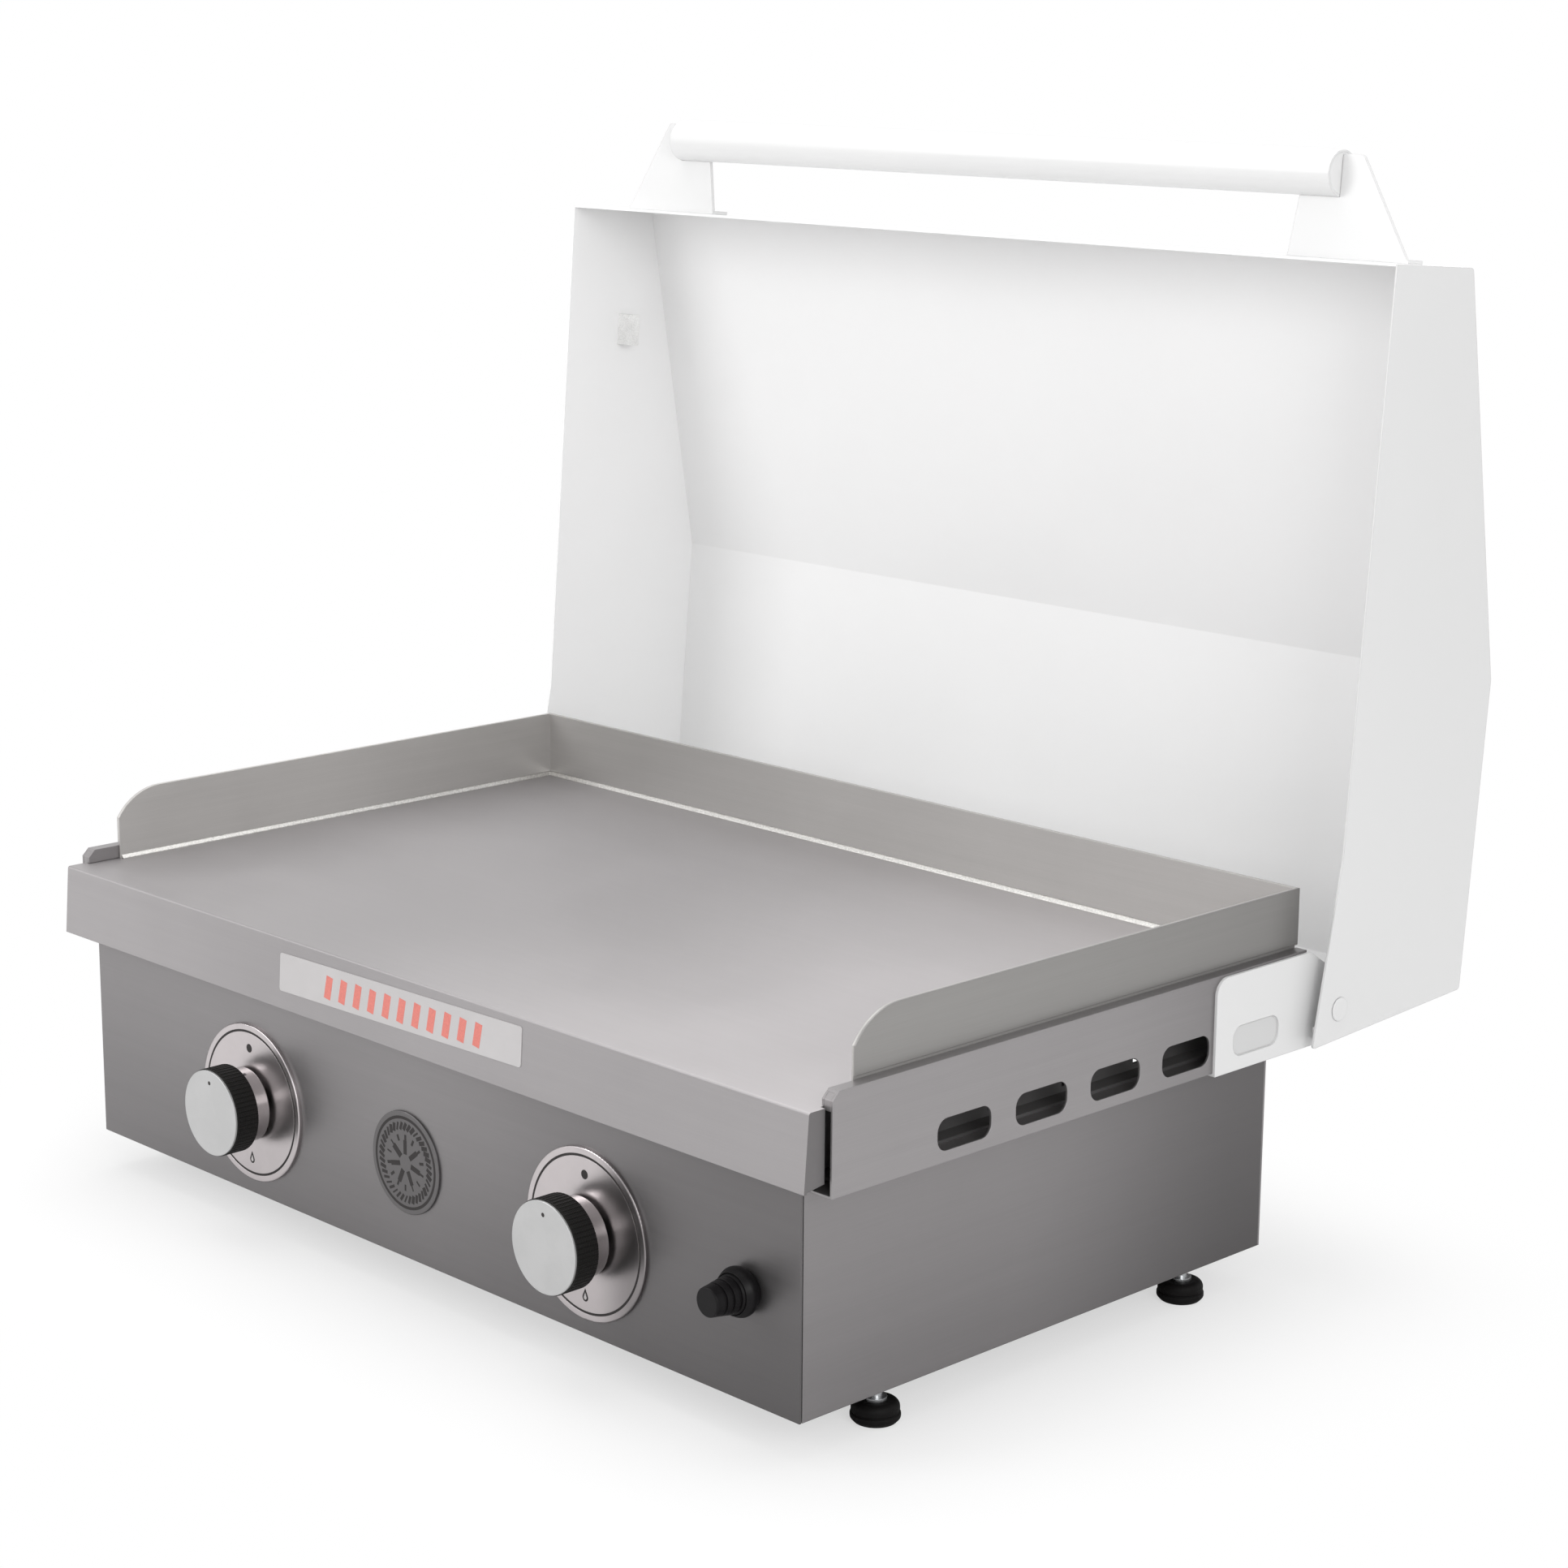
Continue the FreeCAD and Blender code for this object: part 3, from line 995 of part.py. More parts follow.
def handle():
    """A round tube across the front of the lid, between two bent arms, with plugs in its ends."""
    wall = "handle_radius - handle_wall"
    axis_z = "lid_length + handle_rise + handle_radius"
    tube = turned_x("handle_tube", [
        ("-handle_half_length", wall), ("-handle_half_length", "handle_radius"),
        ("handle_half_length", "handle_radius"), ("handle_half_length", wall)])
    plug = turned_x("handle_plug", [
        ("handle_half_length - plug_depth", "0"), ("handle_half_length - plug_depth", wall),
        ("handle_half_length", wall), ("handle_half_length", "0")])
    for piece in (tube, plug):
        lean_back(piece)
        lift = f"top_z - lid_drop + ({axis_z}) * lid_cos - handle_out * lid_sin"
        place(piece, "0", f"fascia_y + lid_y + ({axis_z}) * lid_sin + handle_out * lid_cos", lift)
    kept(tube, "handle_tube")
    both_sides("handle_plugs", plug)
    arm = new_body("handle_arm_right")
    pad(arm, "XZ_Plane", "handle_out - arm_sheet / 2", "arm_sheet", [
        ("arm_outer_base", "lid_length"), ("arm_outer_top", "lid_length + arm_height", "4"),
        ("handle_half_length + 0.3", "lid_length + arm_height", "2"),
        ("handle_half_length + 0.3", "lid_length + handle_rise - 0.1"),
        ("arm_inner_top", "lid_length + handle_rise - 0.1"), ("arm_inner_base", "lid_length")])
    pad(arm, "XY_Plane", "lid_length", "arm_sheet", box_corners(
        "arm_inner_base", "arm_outer_base", "handle_out - arm_sheet / 2", "handle_out + arm_foot"))
    pair(lean_back(arm), "handle_arm_right", "handle_arm_left")


# ---- fasteners -------------------------------------------------------------------------------------

def rear_screws():
    """Dome-headed screws through the rear panel into the side panels and the base pan."""
    screws = []
    for i, (x, z) in enumerate(screw_places()):
        screw = turned_y(f"rear_screw_{i}", [
            ("0", "casing_back - screw_length"), ("screw_radius", "casing_back - screw_length"),
            ("screw_radius", "casing_back"), ("screw_head_radius", "casing_back"),
            ("screw_head_radius", "casing_back + screw_head", "1.6"), ("0", "casing_back + screw_head")])
        screws.append(place(screw, x, "fascia_y", f"foot_height + {z}"))
    group("rear_screws", *screws)


def check_document():
    """Stop if any object failed or any sub-part has no valid shape."""
    doc.recompute()
    failed = [item.Name for item in doc.Objects if {"Invalid", "Error"} & set(item.State)]
    empty = [part.Label for part in PARTS if part.Shape.isNull() or not part.Shape.isValid()]
    if failed or empty:
        raise RuntimeError(f"failed: {failed}; not valid: {empty}")


def write_parts():
    os.makedirs("parts", exist_ok=True)
    for part in PARTS:
        part.Shape.exportStep(f"parts/{part.Label}.step")


griddle_plate()
cast_iron_underplate()
splash_guard()
guard_weld()
vent_rails()
plate_supports()
control_panel()
side_panels()
rear_panel()
base_pan()
feet()
knob_bezels()
front_badge()
fascia_label()
knobs()
gas_valves()
gas_pipes()
burners()
igniter()
hinge_brackets()
hinge_pins()
lid_shell()
lid_sides()
rest_pads()
buffers()
handle()
rear_screws()
check_document()
write_parts()
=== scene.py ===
"""Flat top griddle: finishes, small fittings, floor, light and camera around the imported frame."""
import math
import bmesh
import bpy
from mathutils import Matrix, Vector


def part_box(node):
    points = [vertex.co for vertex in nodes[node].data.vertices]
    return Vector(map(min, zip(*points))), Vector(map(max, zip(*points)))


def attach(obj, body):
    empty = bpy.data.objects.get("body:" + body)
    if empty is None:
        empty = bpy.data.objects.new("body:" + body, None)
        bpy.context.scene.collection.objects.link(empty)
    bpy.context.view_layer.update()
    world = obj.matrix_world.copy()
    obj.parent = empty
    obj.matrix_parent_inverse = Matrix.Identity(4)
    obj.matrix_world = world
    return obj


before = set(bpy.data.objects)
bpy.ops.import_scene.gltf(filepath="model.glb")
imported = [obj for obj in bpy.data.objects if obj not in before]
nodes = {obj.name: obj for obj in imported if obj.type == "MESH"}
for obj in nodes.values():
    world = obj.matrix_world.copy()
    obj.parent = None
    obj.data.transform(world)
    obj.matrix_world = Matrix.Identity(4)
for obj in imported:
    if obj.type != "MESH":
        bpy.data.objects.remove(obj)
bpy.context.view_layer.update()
MM = 0.001


# ---- node tools ------------------------------------------------------------------------------------

def add(tree, kind, inputs=None, **settings):
    """Add a node; an input is a plain value or another node's socket."""
    item = tree.nodes.new(kind)
    for name, value in settings.items():
        setattr(item, name, value)
    for name, value in (inputs or {}).items():
        if isinstance(value, bpy.types.NodeSocket):
            tree.links.new(value, item.inputs[name])
        else:
            item.inputs[name].default_value = value
    return item


def calc(tree, operation, a, b=0.0, c=0.0):
    return add(tree, "ShaderNodeMath", {0: a, 1: b, 2: c}, operation=operation).outputs[0]


def ramp(tree, value, low, high, to_low=0.0, to_high=1.0):
    """Map a value smoothly from one range to another."""
    return add(tree, "ShaderNodeMapRange", {"Value": value, "From Min": low, "From Max": high,
                                            "To Min": to_low, "To Max": to_high},
               interpolation_type="SMOOTHSTEP").outputs["Result"]


def mix_colour(tree, share, a, b):
    item = add(tree, "ShaderNodeMix", {0: share, 6: a, 7: b}, data_type="RGBA")
    return item.outputs[2]


def scaled(tree, vector, factors):
    return add(tree, "ShaderNodeVectorMath", {0: vector, 1: factors}, operation="MULTIPLY").outputs[0]


def part_of(tree, vector, axis):
    """One part of a vector: X, Y or Z."""
    return add(tree, "ShaderNodeSeparateXYZ", {0: vector}).outputs[axis]


def painted_fade(tree, vector, direction, low, high, share):
    """Fall smoothly from 1 to share between two distances along a direction: painted light or shade across
    a part.
    """
    along_it = add(tree, "ShaderNodeVectorMath", {0: vector, 1: direction}, operation="DOT_PRODUCT")
    return ramp(tree, along_it.outputs["Value"], low, high, 1.0, share)


def noise(tree, vector, scale, detail=3.0, rough=0.55):
    return add(tree, "ShaderNodeTexNoise", {"Vector": vector, "Scale": scale, "Detail": detail,
                                            "Roughness": rough}).outputs["Fac"]


def new_group(name, ins, outs):
    """A shader node group with named inputs and outputs, each given as (name, socket, default)."""
    tree = bpy.data.node_groups.new(name, "ShaderNodeTree")
    for title, kind, value in ins:
        socket = tree.interface.new_socket(title, in_out="INPUT", socket_type="NodeSocket" + kind)
        if value is not None:
            socket.default_value = value
    for title, kind in outs:
        tree.interface.new_socket(title, in_out="OUTPUT", socket_type="NodeSocket" + kind)
    return tree, tree.nodes.new("NodeGroupInput").outputs, tree.nodes.new("NodeGroupOutput")


def put_out(tree, outlet, **results):
    for name, socket in results.items():
        tree.links.new(socket, outlet.inputs[name])


def grain_group():
    """Fine parallel scratches of a brushed sheet: colour share, roughness and height."""
    tree, given, outlet = new_group(
        "brushed_grain", [("Vector", "Vector", None), ("Along", "Vector", (5.0, 650.0, 650.0)),
                          ("Contrast", "Float", 0.12)],
        [("Shade", "Float"), ("Polish", "Float"), ("Height", "Float")])
    stretched = scaled(tree, given["Vector"], given["Along"])
    fine = noise(tree, stretched, 3.1, 2.0, 0.6)
    broad = noise(tree, stretched, 0.31, 3.0, 0.5)
    both = calc(tree, "ADD", calc(tree, "MULTIPLY", fine, 0.55), calc(tree, "MULTIPLY", broad, 0.45))
    centred = calc(tree, "SUBTRACT", both, 0.5)
    swing = calc(tree, "MULTIPLY", centred, given["Contrast"])
    put_out(tree, outlet, Shade=calc(tree, "ADD", calc(tree, "MULTIPLY", swing, 2.0), 1.0),
            Polish=swing, Height=both)
    return tree


def smudge_group():
    """Broad cloudy patches from handling and wiping."""
    tree, given, outlet = new_group(
        "wiped_patches", [("Vector", "Vector", None), ("Scale", "Float", 5.0), ("Amount", "Float", 0.1)],
        [("Shade", "Float"), ("Patches", "Float")])
    cloud = noise(tree, given["Vector"], given["Scale"], 4.0, 0.6)
    patches = ramp(tree, cloud, 0.35, 0.68)
    swing = calc(tree, "MULTIPLY", calc(tree, "SUBTRACT", patches, 0.5), given["Amount"])
    put_out(tree, outlet, Shade=calc(tree, "ADD", swing, 1.0), Patches=patches)
    return tree


def dust_group():
    """Light dust that settles on faces that look up."""
    tree, given, outlet = new_group(
        "settled_dust", [("Vector", "Vector", None), ("Normal", "Vector", None), ("Amount", "Float", 0.1)],
        [("Dust", "Float")])
    upward = part_of(tree, given["Normal"], "Z")
    specks = ramp(tree, noise(tree, given["Vector"], 900.0, 2.0, 0.7), 0.45, 0.75)
    lying = ramp(tree, upward, 0.2, 0.95)
    dusty = calc(tree, "MULTIPLY", calc(tree, "MULTIPLY", specks, lying), given["Amount"])
    put_out(tree, outlet, Dust=dusty)
    return tree


def moulded_group():
    """The fine spark-eroded grain of a moulded part."""
    tree, given, outlet = new_group(
        "moulded_grain", [("Vector", "Vector", None), ("Scale", "Float", 1400.0)],
        [("Shade", "Float"), ("Height", "Float")])
    grain = noise(tree, given["Vector"], given["Scale"], 2.0, 0.6)
    put_out(tree, outlet, Shade=ramp(tree, grain, 0.3, 0.7, 0.9, 1.1), Height=grain)
    return tree


GRAIN, SMUDGE, DUST, MOULDED = grain_group(), smudge_group(), dust_group(), moulded_group()


def use(tree, group, **inputs):
    item = tree.nodes.new("ShaderNodeGroup")
    item.node_tree = group
    for name, value in inputs.items():
        if isinstance(value, bpy.types.NodeSocket):
            tree.links.new(value, item.inputs[name])
        else:
            item.inputs[name].default_value = value
    return item.outputs


def start(name, **constants):
    """A new material with its Principled shader, and its Object coordinates and Normal."""
    material = bpy.data.materials.new(name)
    material.use_nodes = True
    tree = material.node_tree
    shader = tree.nodes["Principled BSDF"]
    for title, value in constants.items():
        shader.inputs[title.replace("_", " ")].default_value = value
    where = tree.nodes.new("ShaderNodeTexCoord").outputs
    return material, tree, shader, where["Object"], where["Normal"]


def tint(tree, shader, colour, *shades):
    """Base colour: a plain colour times every shade value."""
    shade = shades[0]
    for other in shades[1:]:
        shade = calc(tree, "MULTIPLY", shade, other)
    vector = add(tree, "ShaderNodeVectorMath", {0: colour, "Scale": shade}, operation="SCALE").outputs[0]
    tree.links.new(vector, shader.inputs["Base Color"])
    return vector


def relief(tree, shader, height, distance, strength=1.0, soft_edge=0.0):
    """Bump, on top of slightly softened edges where a radius is given."""
    inputs = {"Height": height, "Distance": distance, "Strength": strength}
    if soft_edge:
        inputs["Normal"] = add(tree, "ShaderNodeBevel", {"Radius": soft_edge}, samples=4).outputs[0]
    bump = add(tree, "ShaderNodeBump", inputs)
    tree.links.new(bump.outputs[0], shader.inputs["Normal"])


def settle(tree, shader, base, where, normal, amount, colour):
    """Mix dust of this colour over the base colour."""
    dusty = use(tree, DUST, Vector=where, Normal=normal, Amount=amount)["Dust"]
    tree.links.new(mix_colour(tree, dusty, base, colour), shader.inputs["Base Color"])


def gloss(tree, shader, value, low, high, at_low, at_high):
    """Roughness that follows a pattern."""
    tree.links.new(ramp(tree, value, low, high, at_low, at_high), shader.inputs["Roughness"])


# How often the grain repeats in a metre along X, Y and Z: long scratches run where it is low.
ALONG_X, ALONG_Y = (5.0, 650.0, 650.0), (650.0, 5.0, 650.0)


def brushed(name, colour, rough, along=ALONG_X, contrast=0.12, metal=1.0, turn_on_sides=None,
            patches=0.06, dust=0.02, soft_edge=0.0007, fades=(), painted_top_fades=(), painted_front_share=None, painted_end_share=None):
    """Brushed stainless sheet.  turn_on_sides gives another grain direction for faces that look along X,
    fades are (direction, from, to, share left at the end) and paint light and shade across the sheet,
    painted_top_fades are the same on faces that look up, painted_front_share is the share of painted shade
    left on front faces and painted_end_share the share of painted shade left on faces that look along X."""
    material, tree, shader, where, normal = start(name)
    shader.inputs["Metallic"].default_value = metal
    grain = use(tree, GRAIN, Vector=where, Along=along, Contrast=contrast)
    shade, polish, height = grain["Shade"], grain["Polish"], grain["Height"]
    if turn_on_sides:
        other = use(tree, GRAIN, Vector=where, Along=turn_on_sides, Contrast=contrast)
        side = calc(tree, "GREATER_THAN", calc(tree, "ABSOLUTE", part_of(tree, normal, "X")), 0.6)
        pick = [add(tree, "ShaderNodeMix", {0: side, 2: grain[key], 3: other[key]}).outputs[0]
                for key in ("Shade", "Polish", "Height")]
        shade, polish, height = pick
    wiped = use(tree, SMUDGE, Vector=where, Scale=4.0, Amount=patches)
    shades = [shade, wiped["Shade"]]
    # Painted light and shade: the colour falls or rises along a direction across the sheet.
    for direction, low, high, share in fades:
        shades.append(painted_fade(tree, where, direction, low, high, share))
    # Painted light and shade on the faces that look up only.
    for direction, low, high, share in painted_top_fades:
        faded = painted_fade(tree, where, direction, low, high, share)
        upward = ramp(tree, part_of(tree, normal, "Z"), 0.5, 0.9)
        shades.append(add(tree, "ShaderNodeMix", {0: upward, 2: 1.0, 3: faded}).outputs[0])
    # Painted shade: faces that look to the front are darker than the top.
    if painted_front_share:
        shades.append(ramp(tree, part_of(tree, normal, "Y"), -0.05, -0.5, 1.0, painted_front_share))
    # Painted shade: faces that look along X are darker.
    if painted_end_share:
        across = calc(tree, "ABSOLUTE", part_of(tree, normal, "X"))
        shades.append(ramp(tree, across, 0.5, 0.9, 1.0, painted_end_share))
    base = tint(tree, shader, colour, *shades)
    settle(tree, shader, base, where, normal, dust, (0.6, 0.58, 0.55, 1))
    uneven = calc(tree, "ADD", calc(tree, "MULTIPLY", wiped["Patches"], 0.06), rough - 0.03)
    tree.links.new(calc(tree, "ADD", uneven, polish), shader.inputs["Roughness"])
    relief(tree, shader, height, 0.00004, 0.5, soft_edge)
    return material


def turned(name, colour, rough, centre, contrast=0.1, metal=1.0, fades=()):
    """Metal with fine circles about an axis that runs along Y through centre."""
    material, tree, shader, where, normal = start(name)
    shader.inputs["Metallic"].default_value = metal
    moved = add(tree, "ShaderNodeVectorMath", {0: where, 1: centre}, operation="SUBTRACT").outputs[0]
    flat = scaled(tree, moved, (1.0, 0.0, 1.0))
    radius = add(tree, "ShaderNodeVectorMath", {0: flat}, operation="LENGTH").outputs["Value"]
    lines = noise(tree, add(tree, "ShaderNodeCombineXYZ", {0: radius}).outputs[0], 2200.0, 3.0, 0.7)
    swing = calc(tree, "MULTIPLY", calc(tree, "SUBTRACT", lines, 0.5), contrast)
    wiped = use(tree, SMUDGE, Vector=where, Scale=40.0, Amount=0.05)
    shades = [calc(tree, "ADD", swing, 1.0), wiped["Shade"]]
    # Painted light and shade: the colour changes along a direction from the centre.
    for direction, low, high, share in fades:
        shades.append(painted_fade(tree, moved, direction, low, high, share))
    tint(tree, shader, colour, *shades)
    tree.links.new(calc(tree, "ADD", swing, rough), shader.inputs["Roughness"])
    relief(tree, shader, lines, 0.00003, 0.5, 0.0004)
    return material


def enamel(name, colour, rough, dust=0.03):
    """Smooth baked enamel with a very slight orange peel."""
    material, tree, shader, where, normal = start(name, Coat_Weight=0.15, Coat_Roughness=0.2)
    peel = noise(tree, where, 260.0, 2.0, 0.5)
    wiped = use(tree, SMUDGE, Vector=where, Scale=3.0, Amount=0.02)
    base = tint(tree, shader, colour, wiped["Shade"])
    settle(tree, shader, base, where, normal, dust, (0.7, 0.69, 0.67, 1))
    gloss(tree, shader, wiped["Patches"], 0, 1, rough - 0.04, rough + 0.05)
    relief(tree, shader, peel, 0.00006, 0.35, 0.0008)
    return material


def moulding(name, colour, rough, scale=1400.0, depth=0.00005, dust=0.05, shine=0.5):
    """Moulded plastic or rubber with a fine grain and a little dust."""
    material, tree, shader, where, normal = start(name, Specular_IOR_Level=shine)
    grain = use(tree, MOULDED, Vector=where, Scale=scale)
    wiped = use(tree, SMUDGE, Vector=where, Scale=30.0, Amount=0.2)
    base = tint(tree, shader, colour, grain["Shade"], wiped["Shade"])
    settle(tree, shader, base, where, normal, dust, (0.3, 0.29, 0.28, 1))
    gloss(tree, shader, wiped["Patches"], 0, 1, rough - 0.05, rough + 0.08)
    relief(tree, shader, grain["Height"], depth, 0.6, 0.0005)
    return material


KNURLS_AROUND, KNURLS_ALONG = 60.0, 2600.0


def knurled(name, colour, rough, centre):
    """Black moulding with a fine diamond pattern around an axis that runs along Y through centre."""
    material, tree, shader, where, normal = start(name, Specular_IOR_Level=0.15)
    moved = add(tree, "ShaderNodeVectorMath", {0: where, 1: centre}, operation="SUBTRACT").outputs[0]
    part = add(tree, "ShaderNodeSeparateXYZ", {0: moved}).outputs
    turn_on = calc(tree, "MULTIPLY", calc(tree, "ARCTAN2", part["Z"], part["X"]), KNURLS_AROUND)
    run = calc(tree, "MULTIPLY", part["Y"], KNURLS_ALONG)
    up = calc(tree, "SINE", calc(tree, "ADD", turn_on, run))
    down = calc(tree, "SINE", calc(tree, "SUBTRACT", turn_on, run))
    diamond = calc(tree, "MULTIPLY", up, down)
    grain = use(tree, MOULDED, Vector=where, Scale=1200.0)
    tint(tree, shader, colour, grain["Shade"], ramp(tree, diamond, -1.0, 1.0, 0.75, 1.35))
    gloss(tree, shader, grain["Height"], 0.3, 0.7, rough, rough + 0.1)
    relief(tree, shader, diamond, 0.0002, 0.6)
    return material


def cast(name, colour, rough):
    """Sand-cast iron under a black coat."""
    material, tree, shader, where, normal = start(name)
    coarse = noise(tree, where, 420.0, 5.0, 0.7)
    wiped = use(tree, SMUDGE, Vector=where, Scale=9.0, Amount=0.35)
    tint(tree, shader, colour, ramp(tree, coarse, 0.3, 0.7, 0.75, 1.25), wiped["Shade"])
    gloss(tree, shader, coarse, 0.3, 0.7, rough + 0.1, rough - 0.1)
    relief(tree, shader, coarse, 0.0003, 0.8, 0.001)
    return material


def plated(name, colour, rough, scale=60.0, metal=1.0):
    """Plated or drawn metal with slight clouding."""
    material, tree, shader, where, normal = start(name)
    shader.inputs["Metallic"].default_value = metal
    wiped = use(tree, SMUDGE, Vector=where, Scale=scale, Amount=0.14)
    tint(tree, shader, colour, wiped["Shade"])
    gloss(tree, shader, wiped["Patches"], 0, 1, rough, rough + 0.12)
    relief(tree, shader, noise(tree, where, 900.0, 2.0), 0.00003, 0.4, 0.0003)
    return material


def weld_metal(name):
    """A ground weld bead with fine ripples."""
    material, tree, shader, where, normal = start(name, Metallic=1.0)
    ripples = noise(tree, where, 700.0, 3.0, 0.7)
    tint(tree, shader, (0.62, 0.61, 0.59), ramp(tree, ripples, 0.3, 0.7, 0.8, 1.15))
    gloss(tree, shader, ripples, 0.3, 0.7, 0.28, 0.5)
    relief(tree, shader, ripples, 0.0002, 0.7, 0.001)
    return material


def film(name):
    """Adhesive film: slightly clouded, with a faint lift at its edges."""
    material, tree, shader, where, normal = start(name, Coat_Weight=0.3, Coat_Roughness=0.25)
    wiped = use(tree, SMUDGE, Vector=where, Scale=25.0, Amount=0.05)
    tint(tree, shader, (0.44, 0.425, 0.427), wiped["Shade"])
    gloss(tree, shader, wiped["Patches"], 0, 1, 0.35, 0.5)
    relief(tree, shader, noise(tree, where, 300.0, 2.0), 0.00005, 0.3)
    return material


def printed(name, colour):
    material, tree, shader, where, normal = start(name)
    worn = noise(tree, where, 700.0, 3.0, 0.7)
    tint(tree, shader, colour, ramp(tree, worn, 0.2, 0.8, 0.88, 1.1))
    gloss(tree, shader, worn, 0.2, 0.8, 0.4, 0.6)
    relief(tree, shader, worn, 0.00002, 0.3)
    return material


def engraved(name):
    """The dark floor of an engraved line, also used as painted shade in grooves and recesses."""
    material, tree, shader, where, normal = start(name, Specular_IOR_Level=0.15)
    grime = noise(tree, where, 1100.0, 3.0, 0.7)
    tint(tree, shader, (0.030, 0.027, 0.027), ramp(tree, grime, 0.2, 0.8, 0.7, 1.4))
    gloss(tree, shader, grime, 0.2, 0.8, 0.4, 0.7)
    relief(tree, shader, grime, 0.00004, 0.5)
    return material


# ---- finishes --------------------------------------------------------------------------------------

def middle(node):
    low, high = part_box(node)
    return (low + high) / 2


def finish(material, *names):
    for name in names:
        mesh = nodes[name].data
        mesh.materials.clear()
        mesh.materials.append(material)


def sides(name):
    return (name + "_left", name + "_right")


WARM = (1.0, 0.957, 0.969)          # steel looks a little rosy
STRAW = (1.0, 0.975, 0.948)         # and a little straw-coloured where it was heated


def grey(level, cast_of=WARM):
    return tuple(level * share for share in cast_of)


# Painted light and shade: the plate is lighter at its far left, its top lighter towards the right and
# darker at the far left, and its front faces and end faces darker.
finish(brushed("plate_steel", grey(0.335), 0.48, ALONG_X, 0.07, metal=0.7, painted_front_share=0.92, painted_end_share=0.47,
               fades=[((-1, 0, 0), 0.10, 0.36, 1.10)],
               painted_top_fades=[((1, 0, 0), -0.10, 0.34, 1.40), ((-1, 0, 0), 0.10, 0.36, 0.93)]), "griddle_plate")
# Painted shade and light: the guard darkens towards the rear, its outer right face is much darker, and its
# left end is lighter.
finish(brushed("guard_steel", grey(0.47, STRAW), 0.40, ALONG_X, 0.10, metal=0.6, turn_on_sides=ALONG_Y,
               fades=[((0, 1, 0), -0.10, 0.15, 0.88), ((1, 0, 0), 0.3692, 0.3708, 0.56),
                      ((-1, 0, 0), 0.25, 0.366, 1.10)]), "splash_guard")
# Painted shade: the rails darken towards the rear.
finish(brushed("rail_steel", grey(0.282), 0.38, ALONG_Y, 0.10, metal=0.7,
               fades=[((0, 1, 0), -0.08, 0.15, 0.67)]), *sides("vent_rail"))
# Painted shade: the control panel darkens towards the right and towards the bottom.
finish(brushed("front_steel", grey(0.232), 0.38, ALONG_X, 0.10, metal=0.8,
               fades=[((1, 0, 0), -0.04, 0.37, 0.60), ((0, 0, -1), -0.17, -0.03, 0.78)]), "control_panel")
# Painted shade: the side panels darken towards the rear and towards the bottom.
finish(brushed("side_steel", grey(0.24), 0.40, ALONG_Y, 0.10, metal=0.8,
               fades=[((0, 1, 0), -0.12, 0.14, 0.52), ((0, 0, -1), -0.17, -0.03, 0.86)]),
       *sides("side_panel"))
finish(brushed("back_steel", grey(0.26), 0.40, ALONG_X, 0.12, metal=0.8), "rear_panel", "base_pan")
finish(weld_metal("weld_bead"), "guard_weld")
finish(cast("coated_iron", (0.035, 0.034, 0.033), 0.7), "cast_iron_underplate")
finish(plated("dark_zinc_sheet", (0.16, 0.155, 0.155), 0.5, 30.0, metal=0.5), "plate_supports",
       "burner_saddles")
finish(enamel("pale_enamel", (0.84, 0.84, 0.84), 0.42), "lid_skin", "lid_side_left")
# Painted shade: darker copies of the lid's pale enamel on the lid's right side, the hinge parts and the
# handle.
finish(enamel("shaded_lid_enamel", (0.63, 0.63, 0.63), 0.42), "lid_side_right", *sides("hinge_bracket"),
       "hinge_pins", "hinge_spacers")
finish(enamel("shaded_handle_enamel", (0.68, 0.68, 0.68), 0.36), "handle_tube", *sides("handle_arm"),
       "handle_plugs")
finish(moulding("black_rubber", (0.006, 0.0055, 0.0055), 0.6, 900.0, dust=0.0, shine=0.1),
       "foot_pads", "lid_buffers")
finish(moulding("pale_silicone", (0.80, 0.80, 0.79), 0.55, 1400.0, dust=0.01), "lid_rest_pads")
finish(plated("zinc_plate", (0.56, 0.57, 0.58), 0.25), "foot_nuts", "foot_studs", "hinge_nuts",
       "rear_screws", *sides("valve_stem"))
finish(plated("machined_brass", (0.66, 0.48, 0.20), 0.28), *sides("gas_valve"), "gas_inlet",
       "manifold_plug", *sides("stem_collar"))
finish(plated("drawn_tube", (0.55, 0.55, 0.55), 0.32), "gas_manifold", "jet_pipes")
finish(plated("burner_steel", (0.36, 0.34, 0.32), 0.38), *sides("burner"), "burner_end_plugs")
for side in ("left", "right"):
    hub = middle("knob_face_" + side)
    # Painted dark reflection: the right bezel darkens towards its right side, the left one hardly at all.
    painted_reflection_share = 0.99 if side == "left" else 0.48
    finish(turned("polished_bezel_" + side, (0.50, 0.465, 0.47), 0.30, hub, 0.05,
                  fades=[((1, 0, 0), 0.005, 0.045, painted_reflection_share)]), "knob_bezel_" + side)
    finish(turned("knob_face_" + side, (0.46, 0.46, 0.46), 0.36, hub, metal=0.6), "knob_face_" + side)
    # Painted shade: the lower part of each polished skirt is darker.
    finish(turned("polished_skirt_" + side, (0.46, 0.44, 0.44), 0.16, hub, 0.04,
                  fades=[((0, 0, -1), -0.01, 0.022, 0.4)]), "knob_skirt_" + side)
    finish(knurled("knob_black_" + side, (0.009, 0.0085, 0.008), 0.5, hub), "knob_grip_" + side)
finish(moulding("igniter_black", (0.006, 0.0055, 0.006), 0.38, dust=0.0, shine=0.12),
       "igniter_collar", "igniter_button", "igniter_module")
finish(turned("badge_steel", grey(0.125), 0.42, middle("front_badge"), metal=0.8), "front_badge")
finish(film("label_film"), "fascia_label")
finish(moulding("ceramic", (0.78, 0.75, 0.70), 0.5, 600.0, 0.0001), "electrodes")
finish(moulding("lead_red", (0.36, 0.02, 0.015), 0.5), "ignition_leads")


# ---- small fittings and marks ----------------------------------------------------------------------

